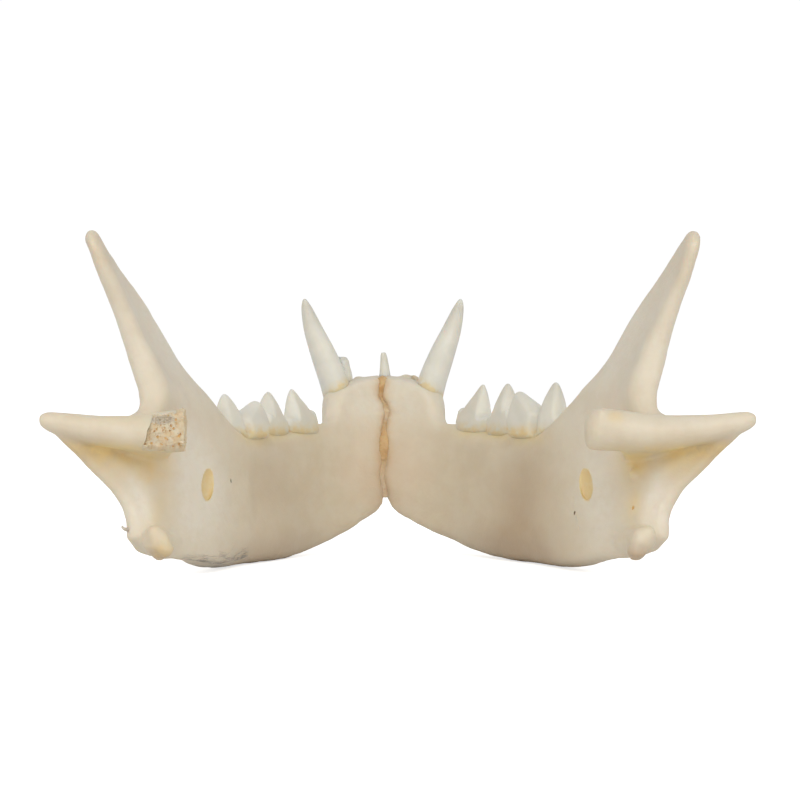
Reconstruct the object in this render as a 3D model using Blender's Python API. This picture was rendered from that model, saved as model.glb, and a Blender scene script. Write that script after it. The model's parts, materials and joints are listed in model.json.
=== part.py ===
"""The lower jaw of a grown cat, dry and clean, life size and still.

Each half of the jaw is one bone with its teeth fused in their sockets. A thin band of dried
cartilage joins the halves at the chin. The jaw lies on the lower borders of its two bodies.

Shapes are worked out in millimetres, in the bone's own measures:
    out   distance from the jaw's mid plane, outwards
    fore  distance ahead of the hindmost point of the condyles
    up    height above the surface that the jaw lies on
The finished meshes are then scaled to metres and centred over the origin, facing +Y.
"""

import math

import bmesh
import bpy
from mathutils import Matrix, Vector

MM = 0.001

# Size of the mesh squares and of the finished bone
VOXEL = 0.36
SMOOTH_ROUNDS = 4
BONE_TRIANGLES = 5200
TOOTH_VOXEL = 0.15
TOOTH_TRIANGLES = 240

# The flat slab that a half jaw is bent from
SLAB_HALF = 1.2
GAP = 0.3
# Where along the jaw one stretch of it passes into the next, by fore
RAMUS_ENDS, BODY_STARTS = 24, 30
OUTER_RAMUS_ENDS, OUTER_BODY_STARTS = 19, 28
CHIN_FROM, CHIN_FULL = 46.5, 51

# Chin
SYMPHYSIS_HIND = 49.5
SYMPHYSIS_FOOT = 5.0
SYMPHYSIS_RAKE = 0.5
RAKE_TOP = 13.0
RAKED_AHEAD_OF = 40
CARTILAGE_HALF = 0.15
INNER_FACE = CARTILAGE_HALF + GAP
# The cartilage from the side, as fore and up
CARTILAGE_OUTLINE = ((58.6, 16.2), (57.3, 13.4), (54.4, 9.6), (51.6, 6.9), (50.6, 6.0), (50.9, 7.6),
                     (52.4, 11.0), (54.4, 14.4), (56.2, 16.2))
WELD = 0.001

# How far out the inner face lies, by the distance behind the hind edge of the symphysis
INNER_LINE = ((-9, INNER_FACE), (-0.5, INNER_FACE), (1, 0.95), (2, 2.0), (3, 3.2), (4.8, 4.9),
              (6.5, 6.1), (9.8, 7.5), (15.8, 9.6), (22.8, 12.3), (25.8, 13.2), (30, 14.5),
              (33, 15.4), (36, 16.45), (39, 17.6), (42, 18.6), (46, 19.5), (55, 21.0))
# How far out the outer face of the body lies, by fore
OUTER_LINE = ((18, 18.6), (22, 18.4), (27, 17.5), (30, 16.5), (37, 13.5), (40, 12.1), (43, 10.8),
              (46, 9.1), (48, 7.8), (50, 6.9), (52, 6.5), (54, 6.2), (56, 5.5), (58, 4.1),
              (60.5, 2.2))
OUTER_LEAN = ((27, 0.0), (37, 0.08), (44, 0.05), (49, -0.07), (60, -0.04))
BODY_MIDDLE = 6.0

# Ramus: thickness by fore, and the coronoid process
RAMUS_THICK = ((4, 1.7), (8, 1.9), (12, 2.5), (15, 3.2), (18, 3.7), (22, 4.3), (27, 4.9))
CORONOID_FRONT = ((12.9, 25.2), (15.4, 22.8), (19.9, 19.3), (24.4, 15.3), (27.7, 11.4), (29.0, 8.8))
CORONOID_HIND = ((14.0, 5.4), (16.0, 6.6), (19.0, 7.7), (22.5, 7.3), (26.0, 5.9), (28.2, 5.4))
CORONOID_TIP = (7.2, 29.35)
CORONOID_THICK = ((12, 1.7), (20, 1.5), (29, 1.15))
CORONOID_FROM, CORONOID_FULL = 11, 16
# Its two crests: height by up, then distance in from the border and width
FRONT_CREST = ((12, 1.4), (24, 1.0), (29, 0.2))
FRONT_CREST_IN, FRONT_CREST_WIDE = 1.2, 2.0
HIND_CREST = ((14, 1.1), (17, 0.9), (22, 0.25), (26, 0.0))
HIND_CREST_IN, HIND_CREST_WIDE = 0.8, 1.8
# How far the coronoid leans outwards at its hind border, and how much more for each step forward
LEAN_LINE = ((12, 0), (14, 0.0), (16, 0.15), (19, 1.35), (22.5, 2.95), (26, 4.3), (29, 5.0))
LEAN_HIND = 7.0
FRONT_LEAN = 0.125
FRONT_LEAN_FROM, FRONT_LEAN_FULL = 12, 19
# How far the hind rim flares outwards below the condyle, by up
RIM_FLARE = ((2.5, 0.9), (3.7, 1.2), (4.9, 1.3), (6.2, 1.7), (7.8, 2.25), (9.2, 2.55), (10.5, 3.2),
             (11.6, 3.4), (12.4, 2.4), (13.2, 1.1), (14.0, 0.25), (16, 0.0))
FLARE_FROM = 11.5
FLARE_CURVE = 1.7
RIM_FORE = 4.0
MOST_SLANT = 1.8
# The lower border is rounded under by this share of its thickness
TUCK, TUCK_TOP = 0.28, 2.6
TUCK_FROM, TUCK_FULL = 14, 22
# Rounded hind rim, from the outer end of the condyle down to the angle: fore, out, up, radius
RIM = ((2.0, 28.6, 12.95, 0.6), (2.4, 27.55, 11.9, 0.66), (3.0, 26.15, 10.6, 0.68), (3.9, 24.9, 9.1, 0.68),
       (4.6, 23.55, 7.7, 0.68), (4.9, 22.55, 6.15, 0.7), (4.8, 22.1, 4.9, 0.74), (4.5, 21.95, 3.65, 0.88),
       (5.4, 21.4, 2.8, 0.85), (7.5, 20.6, 2.2, 0.7))
# The flat of the rim, inside its edge
RIM_FLAT = ((3.3, 25.7, 10.2, 0.5), (4.3, 24.0, 8.9, 0.6), (5.0, 22.7, 7.5, 0.62), (5.4, 21.7, 6.1, 0.62),
            (5.4, 21.2, 4.9, 0.65), (5.2, 21.1, 3.7, 0.6))

# Outer hollow that holds the chewing muscle
FOSSA_AT = (13.0, 9.8)
FOSSA_SIZE = (10.0, 6.8)
FOSSA_DEPTH = 1.1
FOSSA_FLOOR = 0.55

# Condyle, from its inner end outwards: out, middle up, half height, middle fore, half depth
CONDYLE = ((15.55, 12.25, 1.0, 2.6, 1.2), (15.95, 12.4, 1.6, 2.6, 1.8), (16.5, 12.5, 1.78, 2.6, 2.1),
           (18, 12.36, 1.76, 2.5, 2.2), (19.6, 12.2, 1.72, 2.4, 2.2), (21.6, 12.12, 1.53, 2.35, 2.0),
           (23.2, 12.2, 1.4, 2.3, 1.7), (25.9, 12.5, 1.18, 2.2, 1.3), (27.8, 12.83, 1.05, 2.1, 1.1),
           (29.0, 13.1, 0.88, 2.0, 0.95), (29.75, 13.25, 0.5, 2.0, 0.55))
# Neck, from the condyle forwards: fore, out, up, half width, half height
NECK = ((2.2, 20.6, 12.1, 3.6, 1.4), (4.4, 20.9, 11.9, 3.3, 1.55), (6.2, 20.8, 11.7, 2.3, 1.75),
        (8.4, 20.2, 11.4, 1.2, 1.9))
# Angular process, from its root to its blunt end: fore, out, up, radius
ANGULAR = ((9.5, 18.9, 2.7, 0.9), (6.5, 19.7, 2.9, 1.2), (4.2, 20.2, 3.1, 1.25), (2.9, 20.3, 3.15, 1.15),
           (2.35, 20.3, 3.1, 0.95), (2.05, 20.3, 3.1, 0.6))
ANGULAR_NUB = ((4.6, 20.0, 2.6, 0.75), (3.2, 19.95, 2.25, 0.9), (2.3, 19.9, 2.25, 0.55))

# Outline of the half jaw from the side, as fore and up, from the chin back along the lower border
LOWER_BORDER = ((59.7, 16.9), (58.7, 13.7), (55.8, 9.6), (52.2, 6.2), (49.6, 4.3), (46.8, 2.3),
                (43.0, 0.65), (38.0, -0.2), (30.0, -0.3), (20.0, -0.1), (14.0, 0.4), (9.5, 1.2), (5.5, 1.6))
HIND_BORDER = ((3.8, 3.0), (4.4, 4.8), (4.8, 6.4), (4.2, 8.4), (3.0, 10.4), (2.6, 12.4))
UPPER_BORDER = ((27.8, 11.9), (30.0, 11.75), (37.0, 11.8), (43.0, 12.1), (46.3, 12.5), (48.1, 12.6),
                (49.3, 13.3), (50.1, 14.6), (51.6, 16.0), (54.0, 16.9), (56.4, 17.3), (58.8, 17.45))

# Holes: fore, out, up of the middle, then half sizes along fore, out and up
JAW_FORAMEN_AT = (14.4, 7.4)
JAW_FORAMEN_SIZE = (1.2, 0.5, 1.55)
FORAMEN_SLANT = (-0.38, 0.5)
FORAMEN_SINK = 0.05
CHIN_FORAMINA = (((47.4, 8.9, 6.6), (0.8, 1.2, 0.6)), ((43.4, 10.9, 5.6), (0.6, 1.1, 0.5)),
                 ((52.5, 6.5, 8.6), (0.45, 1.0, 0.4)))
# Incisor sockets: out and fore of each, with its radius
SOCKET_UP = 17.4
SOCKET_RADIUS = 0.42
SOCKET_DEPTH = 1.5

# Cheek teeth: middle of the crown (fore and out), how far it slants inwards for each step forward,
# length, width, height of the crown, root depth, the cusps as places along the crown from its front
# with heights, both as shares of the crown, and how full the cusps are
CHEEK_TEETH = {
    "p3": (43.8, 9.2, 0.5, 7.4, 2.2, 4.6, 5.0,
           ((0.04, 0.50), (0.16, 0.48), (0.36, 0.78), (0.45, 0.97), (0.52, 1.0), (0.58, 0.84),
            (0.62, 0.58), (0.66, 0.36), (0.75, 0.31), (0.86, 0.34)), 1.9),
    "p4": (37.3, 11.65, 0.36, 6.9, 2.6, 4.7, 5.0,
           ((0.10, 0.36), (0.21, 0.36), (0.31, 0.68), (0.38, 0.93), (0.44, 1.0), (0.51, 0.92),
            (0.59, 0.66), (0.67, 0.46), (0.76, 0.50), (0.85, 0.34)), 2.0),
    "m1": (29.4, 14.24, 0.56, 8.4, 2.8, 4.75, 5.5,
           ((0.03, 0.54), (0.11, 0.82), (0.28, 0.70), (0.44, 0.55), (0.57, 0.44), (0.66, 0.74),
            (0.72, 0.95), (0.77, 1.0), (0.82, 0.94), (0.87, 0.70), (0.92, 0.36)), 1.7),
}
# The raised edge of bone along their inner side: fore, out, up, half height and half width
ALVEOLAR_EDGE = ((48.3, 7.3, 10.8, 0.4, 0.4), (46.8, 7.75, 10.85, 0.8, 0.8),
                 (43.6, 8.85, 10.7, 0.95, 0.95), (40.6, 10.05, 10.85, 0.9, 0.95),
                 (37.3, 11.05, 10.65, 1.0, 1.0), (34.4, 11.75, 10.75, 1.0, 0.95),
                 (32.4, 12.2, 10.75, 1.0, 1.0), (30.4, 13.1, 10.65, 1.0, 1.0),
                 (27.6, 14.45, 10.75, 1.0, 1.0), (25.6, 15.7, 11.0, 0.5, 0.5))
GUM_LINE = 11.8
TOOTH_HALF = 0.45
# Side outline of a crown and its roots, as shares of half its length and of its height
NECK_SHARE = 0.86
ROOT_OUTER, ROOT_INNER = 0.72, 0.25
FORK_DEPTH = 0.25
BULGE_UP = 0.16
# Narrowing of a crown towards its cusps, its neck and its ends
CUSP_NARROW = 0.82
NECK_NARROW, NECK_TOP, NECK_FOOT = 0.14, 0.12, -0.1
END_NARROW, END_CURVE = 0.45, 3
# How far the roots lean outwards for each step down, and how far out the tips stand from the feet
CROWN_LEAN = 0.3
# How far the roots are tucked outwards under the bone, and the depth at which they are
# Depth at which a root has reached the middle of the bone
SUNK_AT = 1.6

# Canine: fore, out, up of the axis, then half length and half width of the section
CANINE = ((50.7, 4.2, 9.0, 1.1, 0.9), (51.6, 4.15, 11.0, 1.8, 1.3), (52.6, 4.1, 13.0, 2.25, 1.5),
          (54.5, 5.0, 16.6, 2.05, 1.45), (55.8, 6.05, 19.4, 1.65, 1.3), (56.5, 7.1, 22.0, 1.2, 1.0),
          (56.5, 7.75, 24.0, 0.7, 0.64), (56.3, 8.0, 24.95, 0.34, 0.34), (56.2, 8.05, 25.3, 0.12, 0.14))
# The swelling of bone round the canine's root, in the same way
CANINE_SWELLING = ((51.5, 4.3, 9.0, 0.9, 1.1), (52.2, 4.3, 11.0, 1.6, 1.75),
                   (52.8, 4.35, 12.8, 2.2, 2.0), (53.3, 4.45, 14.0, 2.3, 1.9),
                   (53.7, 4.62, 14.9, 2.2, 1.66), (53.9, 4.75, 15.5, 2.0, 1.4))
# Incisors: axis from root to edge in the same way
FIRST_INCISOR = ((56.9, 0.95, 14.5, 0.45, 0.3), (58.2, 0.8, 17.3, 0.7, 0.38), (58.6, 0.5, 18.6, 0.5, 0.36),
                 (58.6, 0.3, 19.7, 0.2, 0.2), (58.6, 0.25, 19.9, 0.08, 0.08))
THIRD_INCISOR = ((54.6, 3.6, 14.5, 0.5, 0.6), (55.6, 3.95, 17.0, 0.8, 0.82), (55.9, 4.1, 18.2, 0.85, 0.74),
                 (56.0, 4.15, 19.0, 0.8, 0.68), (56.0, 4.12, 19.35, 0.6, 0.55), (56.0, 4.1, 19.5, 0.2, 0.3))
INCISOR_SOCKETS = ((0.85, 57.9), (2.0, 57.7), (3.35, 56.9))

# What differs between the sides
RIGHT = {"name": "right", "sign": 1, "border_lift": 0.45, "broken": False, "foramen_shift": -0.5,
         "lean": ((12, 0), (29, 0)),
         "front_lean": ((12, 0), (14.5, 0.65), (17, 0.85), (19.5, 0.65), (22, 0.15), (25, -0.1), (29, 0)),
         "wear": {"p3": 0.0, "p4": 0.0, "m1": 0.0}, "incisors": (FIRST_INCISOR,), "empty_sockets": (1, 2)}
LEFT = {"name": "left", "sign": -1, "border_lift": 0.0, "broken": True, "foramen_shift": 0.5,
        "lean": ((12, 0), (15, -0.3), (18, -0.2), (20.5, -0.05), (22.5, 0.0), (25, 0.1), (27, 0.35),
                 (28.5, 0.6)),
        "front_lean": ((12, 0), (14.5, 0.8), (16, 1.05), (18, 0.95), (20, 0.65), (22, 0.3), (24, 0.1),
                       (29, 0.1)),
        "wear": {"p3": 0.45, "p4": 0.8, "m1": 1.1}, "incisors": (THIRD_INCISOR,), "empty_sockets": (0, 1)}
# What is broken off the left condyle: the corners (fore, out, up) of each loss
BROKEN_OFF = (((-1.0, 12.8, 8.8), (6.0, 17.75, 15.8)), ((-2.0, 17.0, 8.8), (0.72, 20.75, 15.8)))
LIFT_FROM, LIFT_MOST, LIFT_TO = 33, 42, 50

BONE_COLOUR = (0.72, 0.63, 0.50, 1.0)
CARTILAGE_COLOUR = (0.50, 0.30, 0.13, 1.0)


def clear_scene():
    for obj in list(bpy.data.objects):
        bpy.data.objects.remove(obj, do_unlink=True)


def surface(name, colour, roughness):
    material = bpy.data.materials.new(name)
    material.use_nodes = True
    shader = material.node_tree.nodes["Principled BSDF"]
    shader.inputs["Base Color"].default_value = colour
    shader.inputs["Roughness"].default_value = roughness
    shader.inputs["Metallic"].default_value = 0.0
    return material


def ramp(start, end, value):
    """0 before start and 1 after end, with a smooth rise between them."""
    share = min(1.0, max(0.0, (value - start) / (end - start)))
    return share * share * (3 - 2 * share)


def along(stations, place):
    """The value at a place on the smooth curve through the stations."""
    if place <= stations[0][0]:
        return stations[0][1]
    if place >= stations[-1][0]:
        return stations[-1][1]
    i = next(k for k in range(1, len(stations)) if place <= stations[k][0]) - 1
    (a, value_a), (b, value_b) = stations[i], stations[i + 1]

    def slope(k):
        low, high = stations[max(0, k - 1)], stations[min(len(stations) - 1, k + 1)]
        return (high[1] - low[1]) / (high[0] - low[0])

    wide = b - a
    t = (place - a) / wide
    return (value_a * (1 + 2 * t) * (1 - t) ** 2 + slope(i) * wide * t * (1 - t) ** 2
            + value_b * t * t * (3 - 2 * t) + slope(i + 1) * wide * t * t * (t - 1))


def round_curve(points, steps):
    """Points on the smooth closed curve through the given ones."""
    curve = []
    count = len(points)
    for i in range(count):
        a, b, c, d = (Vector(points[(i + k) % count]) for k in (-1, 0, 1, 2))
        for k in range(steps):
            t = k / steps
            curve.append(0.5 * (2 * b + (c - a) * t + (2 * a - 5 * b + 4 * c - d) * t * t
                                + (3 * b - a - 3 * c + d) * t ** 3))
    return curve


def new_object(name, mesh):
    obj = bpy.data.objects.new(name, mesh)
    bpy.context.scene.collection.objects.link(obj)
    return obj


def apply_modifiers(obj):
    """The object with its modifiers made part of its mesh."""
    bpy.context.view_layer.update()
    graph = bpy.context.evaluated_depsgraph_get()
    mesh = bpy.data.meshes.new_from_object(obj.evaluated_get(graph))
    obj.modifiers.clear()
    obj.data = mesh
    return obj


def slab(name, outline, half, edge_steps=3):
    """A flat plate with round edges, cut to an outline in its local X and Y."""
    curve = bpy.data.curves.new(name, "CURVE")
    curve.dimensions = "2D"
    curve.fill_mode = "BOTH"
    curve.extrude = half * 0.1
    curve.bevel_depth = half * 0.9
    curve.bevel_resolution = edge_steps
    curve.offset = -half * 0.9
    spline = curve.splines.new("POLY")
    spline.points.add(len(outline) - 1)
    for point, place in zip(spline.points, outline):
        point.co = (place[0], place[1], 0, 1)
    spline.use_cyclic_u = True
    flat = new_object(name + "_flat", curve)
    bpy.context.view_layer.update()
    graph = bpy.context.evaluated_depsgraph_get()
    mesh = bpy.data.meshes.new_from_object(flat.evaluated_get(graph))
    bpy.data.objects.remove(flat)
    return new_object(name, mesh)


def even_mesh(obj, voxel, rounds):
    """Rebuilds the surface from even squares and smooths its creases."""
    remesh = obj.modifiers.new("Remesh", "REMESH")
    remesh.mode = "VOXEL"
    remesh.voxel_size = voxel
    if rounds:
        smooth = obj.modifiers.new("Smooth", "SMOOTH")
        smooth.factor = 0.5
        smooth.iterations = rounds
    return apply_modifiers(obj)


def thin_out(obj, triangles):
    """Fewer triangles over the same shape."""
    obj.data.calc_loop_triangles()
    decimate = obj.modifiers.new("Decimate", "DECIMATE")
    decimate.ratio = min(1.0, triangles / len(obj.data.loop_triangles))
    return apply_modifiers(obj)


def loft(name, sections, sides):
    """A closed form through oval sections, each a middle and two half axes."""
    bm = bmesh.new()
    rings = []
    for middle, across, upwards in sections:
        turns = [2 * math.pi * k / sides for k in range(sides)]
        rings.append([bm.verts.new(middle + across * math.cos(t) + upwards * math.sin(t)) for t in turns])
    for low, high in zip(rings, rings[1:]):
        for k in range(sides):
            bm.faces.new((low[k], low[(k + 1) % sides], high[(k + 1) % sides], high[k]))
    bm.faces.new(rings[0])
    bm.faces.new(rings[-1])
    bmesh.ops.recalc_face_normals(bm, faces=bm.faces)
    mesh = bpy.data.meshes.new(name)
    bm.to_mesh(mesh)
    bm.free()
    return new_object(name, mesh)


def stem(name, stations, sides):
    """A tapering form along an axis given as fore, out, up, half length and half width."""
    middles = [Vector((out, fore, up)) for fore, out, up, *_ in stations]
    sections = []
    for i, station in enumerate(stations):
        axis = (middles[min(i + 1, len(middles) - 1)] - middles[max(i - 1, 0)]).normalized()
        across = axis.cross(Vector((1, 0, 0))).normalized()
        sections.append((middles[i], across * station[3], across.cross(axis) * station[-1]))
    return loft(name, sections, sides)


def ball(name, middle, half, slope=(0.0, 0.0)):
    """An oval ball, sheared outwards along the jaw and forwards upwards by its slopes."""
    bm = bmesh.new()
    bmesh.ops.create_icosphere(bm, subdivisions=3, radius=1.0)
    fore, out, up = middle
    bmesh.ops.scale(bm, vec=Vector((half[1], half[0], half[2])), verts=bm.verts)
    for vert in bm.verts:
        ahead = vert.co.y + slope[1] * vert.co.z
        vert.co = Vector((out + vert.co.x + slope[0] * ahead, fore + ahead, up + vert.co.z))
    mesh = bpy.data.meshes.new(name)
    bm.to_mesh(mesh)
    bm.free()
    return new_object(name, mesh)


def block(name, low, high):
    """A box between two corners, each given as fore, out and up."""
    bm = bmesh.new()
    bmesh.ops.create_cube(bm, size=1.0)
    size = [b - a for a, b in zip(low, high)]
    middle = [(a + b) / 2 for a, b in zip(low, high)]
    bmesh.ops.scale(bm, vec=Vector((size[1], size[0], size[2])), verts=bm.verts)
    bmesh.ops.translate(bm, vec=Vector((middle[1], middle[0], middle[2])), verts=bm.verts)
    mesh = bpy.data.meshes.new(name)
    bm.to_mesh(mesh)
    bm.free()
    return new_object(name, mesh)


def join(name, pieces):
    """One object that holds the meshes of all the pieces."""
    bm = bmesh.new()
    for piece in pieces:
        bm.from_mesh(piece.data)
        bpy.data.objects.remove(piece)
    mesh = bpy.data.meshes.new(name)
    bm.to_mesh(mesh)
    bm.free()
    return new_object(name, mesh)


def combine(obj, pieces, operation, solver="EXACT"):
    """One Boolean of the object with a collection of closed meshes, which are then removed."""
    group = bpy.data.collections.new(operation)
    bpy.context.scene.collection.children.link(group)
    for piece in pieces:
        bpy.context.scene.collection.objects.unlink(piece)
        group.objects.link(piece)
    boolean = obj.modifiers.new(operation, "BOOLEAN")
    boolean.operation = operation
    boolean.solver = solver
    boolean.operand_type = "COLLECTION"
    boolean.collection = group
    apply_modifiers(obj)
    for piece in list(group.objects):
        bpy.data.objects.remove(piece)
    bpy.data.collections.remove(group)
    return obj


def keep_largest(obj):
    """Drops every closed surface but the one with the most points."""
    bm = bmesh.new()
    bm.from_mesh(obj.data)
    left = set(bm.verts)
    shells = []
    while left:
        reached = {left.pop()}
        edge_of_search = list(reached)
        while edge_of_search:
            vert = edge_of_search.pop()
            near = {edge.other_vert(vert) for edge in vert.link_edges} - reached
            reached |= near
            edge_of_search.extend(near)
        left -= reached
        shells.append(reached)
    for shell in sorted(shells, key=len)[:-1]:
        bmesh.ops.delete(bm, geom=list(shell), context="VERTS")
    bmesh.ops.triangulate(bm, faces=bm.faces)
    bm.to_mesh(obj.data)
    bm.free()
    return obj


def inner_face(fore, up, side):
    """How far out the inner face of the bone lies."""
    ramus = 1 - ramp(RAMUS_ENDS, BODY_STARTS, fore)
    raked = up if fore > RAKED_AHEAD_OF else min(up, RAKE_TOP)
    behind = SYMPHYSIS_HIND + (raked - SYMPHYSIS_FOOT) * SYMPHYSIS_RAKE - fore
    lean = along(LEAN_LINE, up) * ramus
    front = FRONT_LEAN * (fore - LEAN_HIND) * ramp(FRONT_LEAN_FROM, FRONT_LEAN_FULL, up) * ramus
    own = along(side["lean"], up) * ramus
    own += along(side["front_lean"], up) * ramp(LEAN_HIND, along(CORONOID_FRONT, up), fore) * ramus
    near_rim = max(0.0, (FLARE_FROM - fore) / (FLARE_FROM - RIM_FORE))
    flare = along(RIM_FLARE, up) * near_rim ** FLARE_CURVE
    return along(INNER_LINE, behind) + lean + front + own + flare


def slant(fore, up, side):
    """How much longer a straight cut outwards is than the bone is thick there."""
    step = 0.2
    along_fore = (inner_face(fore + step, up, side) - inner_face(fore - step, up, side)) / (2 * step)
    along_up = (inner_face(fore, up + step, side) - inner_face(fore, up - step, side)) / (2 * step)
    return min(MOST_SLANT, math.sqrt(1 + along_fore ** 2 + along_up ** 2))


def ramus_thickness(fore, up):
    """Thickness of the ramus: low down by fore, and higher up with its two crests."""
    low = along(RAMUS_THICK, fore)
    front = along(CORONOID_FRONT, up)
    hind = along(CORONOID_HIND, up)
    high = (along(CORONOID_THICK, up)
            + along(FRONT_CREST, up) * math.exp(-((front - FRONT_CREST_IN - fore) / FRONT_CREST_WIDE) ** 2)
            + along(HIND_CREST, up) * math.exp(-((fore - hind - HIND_CREST_IN) / HIND_CREST_WIDE) ** 2))
    share = ramp(CORONOID_FROM, CORONOID_FULL, up)
    return low * (1 - share) + high * share


def fossa_depth(fore, up):
    """Depth of the hollow on the outer side of the ramus."""
    away = math.hypot((fore - FOSSA_AT[0]) / FOSSA_SIZE[0], (up - FOSSA_AT[1]) / FOSSA_SIZE[1])
    return FOSSA_DEPTH * ramp(1.0, FOSSA_FLOOR, away)


def outer_face(fore, up, inner, side):
    ramus = inner + ramus_thickness(fore, up) * slant(fore, up, side)
    body = along(OUTER_LINE, fore) + along(OUTER_LEAN, fore) * (up - BODY_MIDDLE)
    share = ramp(OUTER_RAMUS_ENDS, OUTER_BODY_STARTS, fore)
    return ramus * (1 - share) + body * share - fossa_depth(fore, up)


def bend_to_bone(mesh, side):
    """Moves the points of the flat slab onto the faces of the bone."""
    for vert in mesh.vertices:
        fore, up, through = vert.co
        share = min(1.0, max(0.0, (through / SLAB_HALF + 1) / 2))
        inner = inner_face(fore, up, side)
        outer = outer_face(fore, up, inner, side)
        middle, half = (inner + outer) / 2, (outer - inner) / 2
        chin = ramp(CHIN_FROM, CHIN_FULL, fore)
        tuck = TUCK * ramp(TUCK_TOP, 0.0, up) * ramp(TUCK_FROM, TUCK_FULL, fore) * (1 - chin)
        half *= 1 - tuck
        share = share ** (1 + 2 * chin)
        vert.co = (middle + half * (2 * share - 1), fore, up)


def jaw_outline(side):
    """The half jaw from the side: chin, lower border, angle, condyle, coronoid, tooth margin."""
    hind = [(fore, up) for up, fore in CORONOID_HIND]
    front = [(fore, up) for up, fore in reversed(CORONOID_FRONT)]
    lower = []
    for fore, up in LOWER_BORDER:
        lift = ramp(LIFT_FROM, LIFT_MOST, fore) * ramp(LIFT_TO, LIFT_MOST, fore)
        lower.append((fore, up + side["border_lift"] * lift))
    points = lower + list(HIND_BORDER) + hind + [CORONOID_TIP] + front
    return round_curve(points + list(UPPER_BORDER), 5)


def plate(side):
    """Body, ramus and coronoid process in one bent plate."""
    flat = slab("plate", jaw_outline(side), SLAB_HALF)
    flat = even_mesh(flat, VOXEL, 2)
    bend_to_bone(flat.data, side)
    return flat


def condyle():
    sections = [(Vector((out, fore, up)), Vector((0, deep, 0)), Vector((0, 0, high)))
                for out, up, high, fore, deep in CONDYLE]
    return loft("condyle", sections, 20)


def condyle_neck():
    sections = [(Vector((out, fore, up)), Vector((wide, 0, 0)), Vector((0, 0, high)))
                for fore, out, up, wide, high in NECK]
    return loft("neck", sections, 16)


def bone(side):
    """One half of the jaw without its teeth, as one even surface."""
    pieces = [plate(side), condyle(), condyle_neck(), stem("rim", RIM, 12),
              stem("rim_flat", RIM_FLAT, 12), stem("angle", ANGULAR, 14), stem("nub", ANGULAR_NUB, 10),
              stem("swelling", CANINE_SWELLING, 16), stem("tooth_edge", ALVEOLAR_EDGE, 12)]
    return even_mesh(join("bone", pieces), VOXEL, SMOOTH_ROUNDS)


def holes(side):
    """The forms that cut the foramina and the empty incisor sockets."""
    fore, up = JAW_FORAMEN_AT
    fore += side["foramen_shift"]
    out = inner_face(fore, up, side) + FORAMEN_SINK
    cutters = [ball("jaw_foramen", (fore, out, up), JAW_FORAMEN_SIZE, FORAMEN_SLANT)]
    cutters += [ball("chin_foramen", *hole) for hole in CHIN_FORAMINA]
    for index in side["empty_sockets"]:
        out, fore = INCISOR_SOCKETS[index]
        cutters.append(ball("socket", (fore, out, SOCKET_UP), (SOCKET_RADIUS, SOCKET_RADIUS, SOCKET_DEPTH)))
    return cutters


def break_off(obj):
    """Breaks the inner end off the condyle and takes the skin of bone off beside it."""
    return combine(obj, [block("loss", *corners) for corners in BROKEN_OFF], "DIFFERENCE")


def crown_outline(length, height, root, cusps):
    """A cheek tooth from the side, cusps up and two roots down, as a closed outline."""
    half = length / 2
    points = [(half * NECK_SHARE, 0.0), (half * ROOT_OUTER, -root), (half * ROOT_INNER, -root),
              (0.0, -FORK_DEPTH * root), (-half * ROOT_INNER, -root), (-half * ROOT_OUTER, -root),
              (-half * NECK_SHARE, 0.0), (-half, BULGE_UP * height)]
    points += [(half - length * place, height * share) for place, share in reversed(cusps)]
    points += [(half, BULGE_UP * height)]
    return round_curve(points, 4)


def cheek_tooth(name, side):
    """A blade-like cheek tooth, narrower towards its cusps and its ends."""
    middle, out, inwards, length, width, height, root, cusps, full = CHEEK_TEETH[name]
    height -= side["wear"][name]
    tooth = slab(name, crown_outline(length, height, root, cusps), TOOTH_HALF)
    tooth = even_mesh(tooth, TOOTH_VOXEL, 1)
    heading = Vector((-inwards, 1, 0)).normalized()
    sideways = Vector((heading.y, -heading.x, 0))
    start = Vector((out, middle, GUM_LINE))
    for vert in tooth.data.vertices:
        run, high, through = vert.co
        share = max(0.0, high / height)
        belly = 1 - CUSP_NARROW * share ** full
        neck = 1 - NECK_NARROW * ramp(NECK_TOP * height, NECK_FOOT * height, high)
        ends = 1 - END_NARROW * abs(2 * run / length) ** END_CURVE
        wide = width / 2 * belly * neck * ends
        axis = start + heading * run + Vector((0, 0, high))
        inner = inner_face(axis.y, axis.z, side)
        middle = (inner + outer_face(axis.y, axis.z, inner, side)) / 2
        sunk = ramp(0.0, SUNK_AT, -high)
        lean = CROWN_LEAN * (min(1.0, share) - 1) * (1 - sunk) + (middle - axis.x) / sideways.x * sunk
        vert.co = axis + sideways * (through / TOOTH_HALF * wide + lean)
    return thin_out(tooth, TOOTH_TRIANGLES)


def teeth(side):
    """Every tooth that is left in this side."""
    found = [cheek_tooth(name, side) for name in CHEEK_TEETH]
    found.append(stem("canine", CANINE, 14))
    found += [stem("incisor", incisor, 8) for incisor in side["incisors"]]
    return found


def half_jaw(side, material):
    """One half of the jaw with its teeth, as one closed surface."""
    half = bone(side)
    combine(half, holes(side), "DIFFERENCE")
    if side["broken"]:
        break_off(half)
    thin_out(half, BONE_TRIANGLES)
    combine(half, teeth(side), "UNION", "MANIFOLD")
    keep_largest(half)
    half.name = "mandible_" + side["name"]
    half.data.transform(Matrix.Diagonal((side["sign"], 1, 1, 1)))
    if side["sign"] < 0:
        half.data.flip_normals()
    half.data.materials.clear()
    half.data.materials.append(material)
    return half


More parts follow.
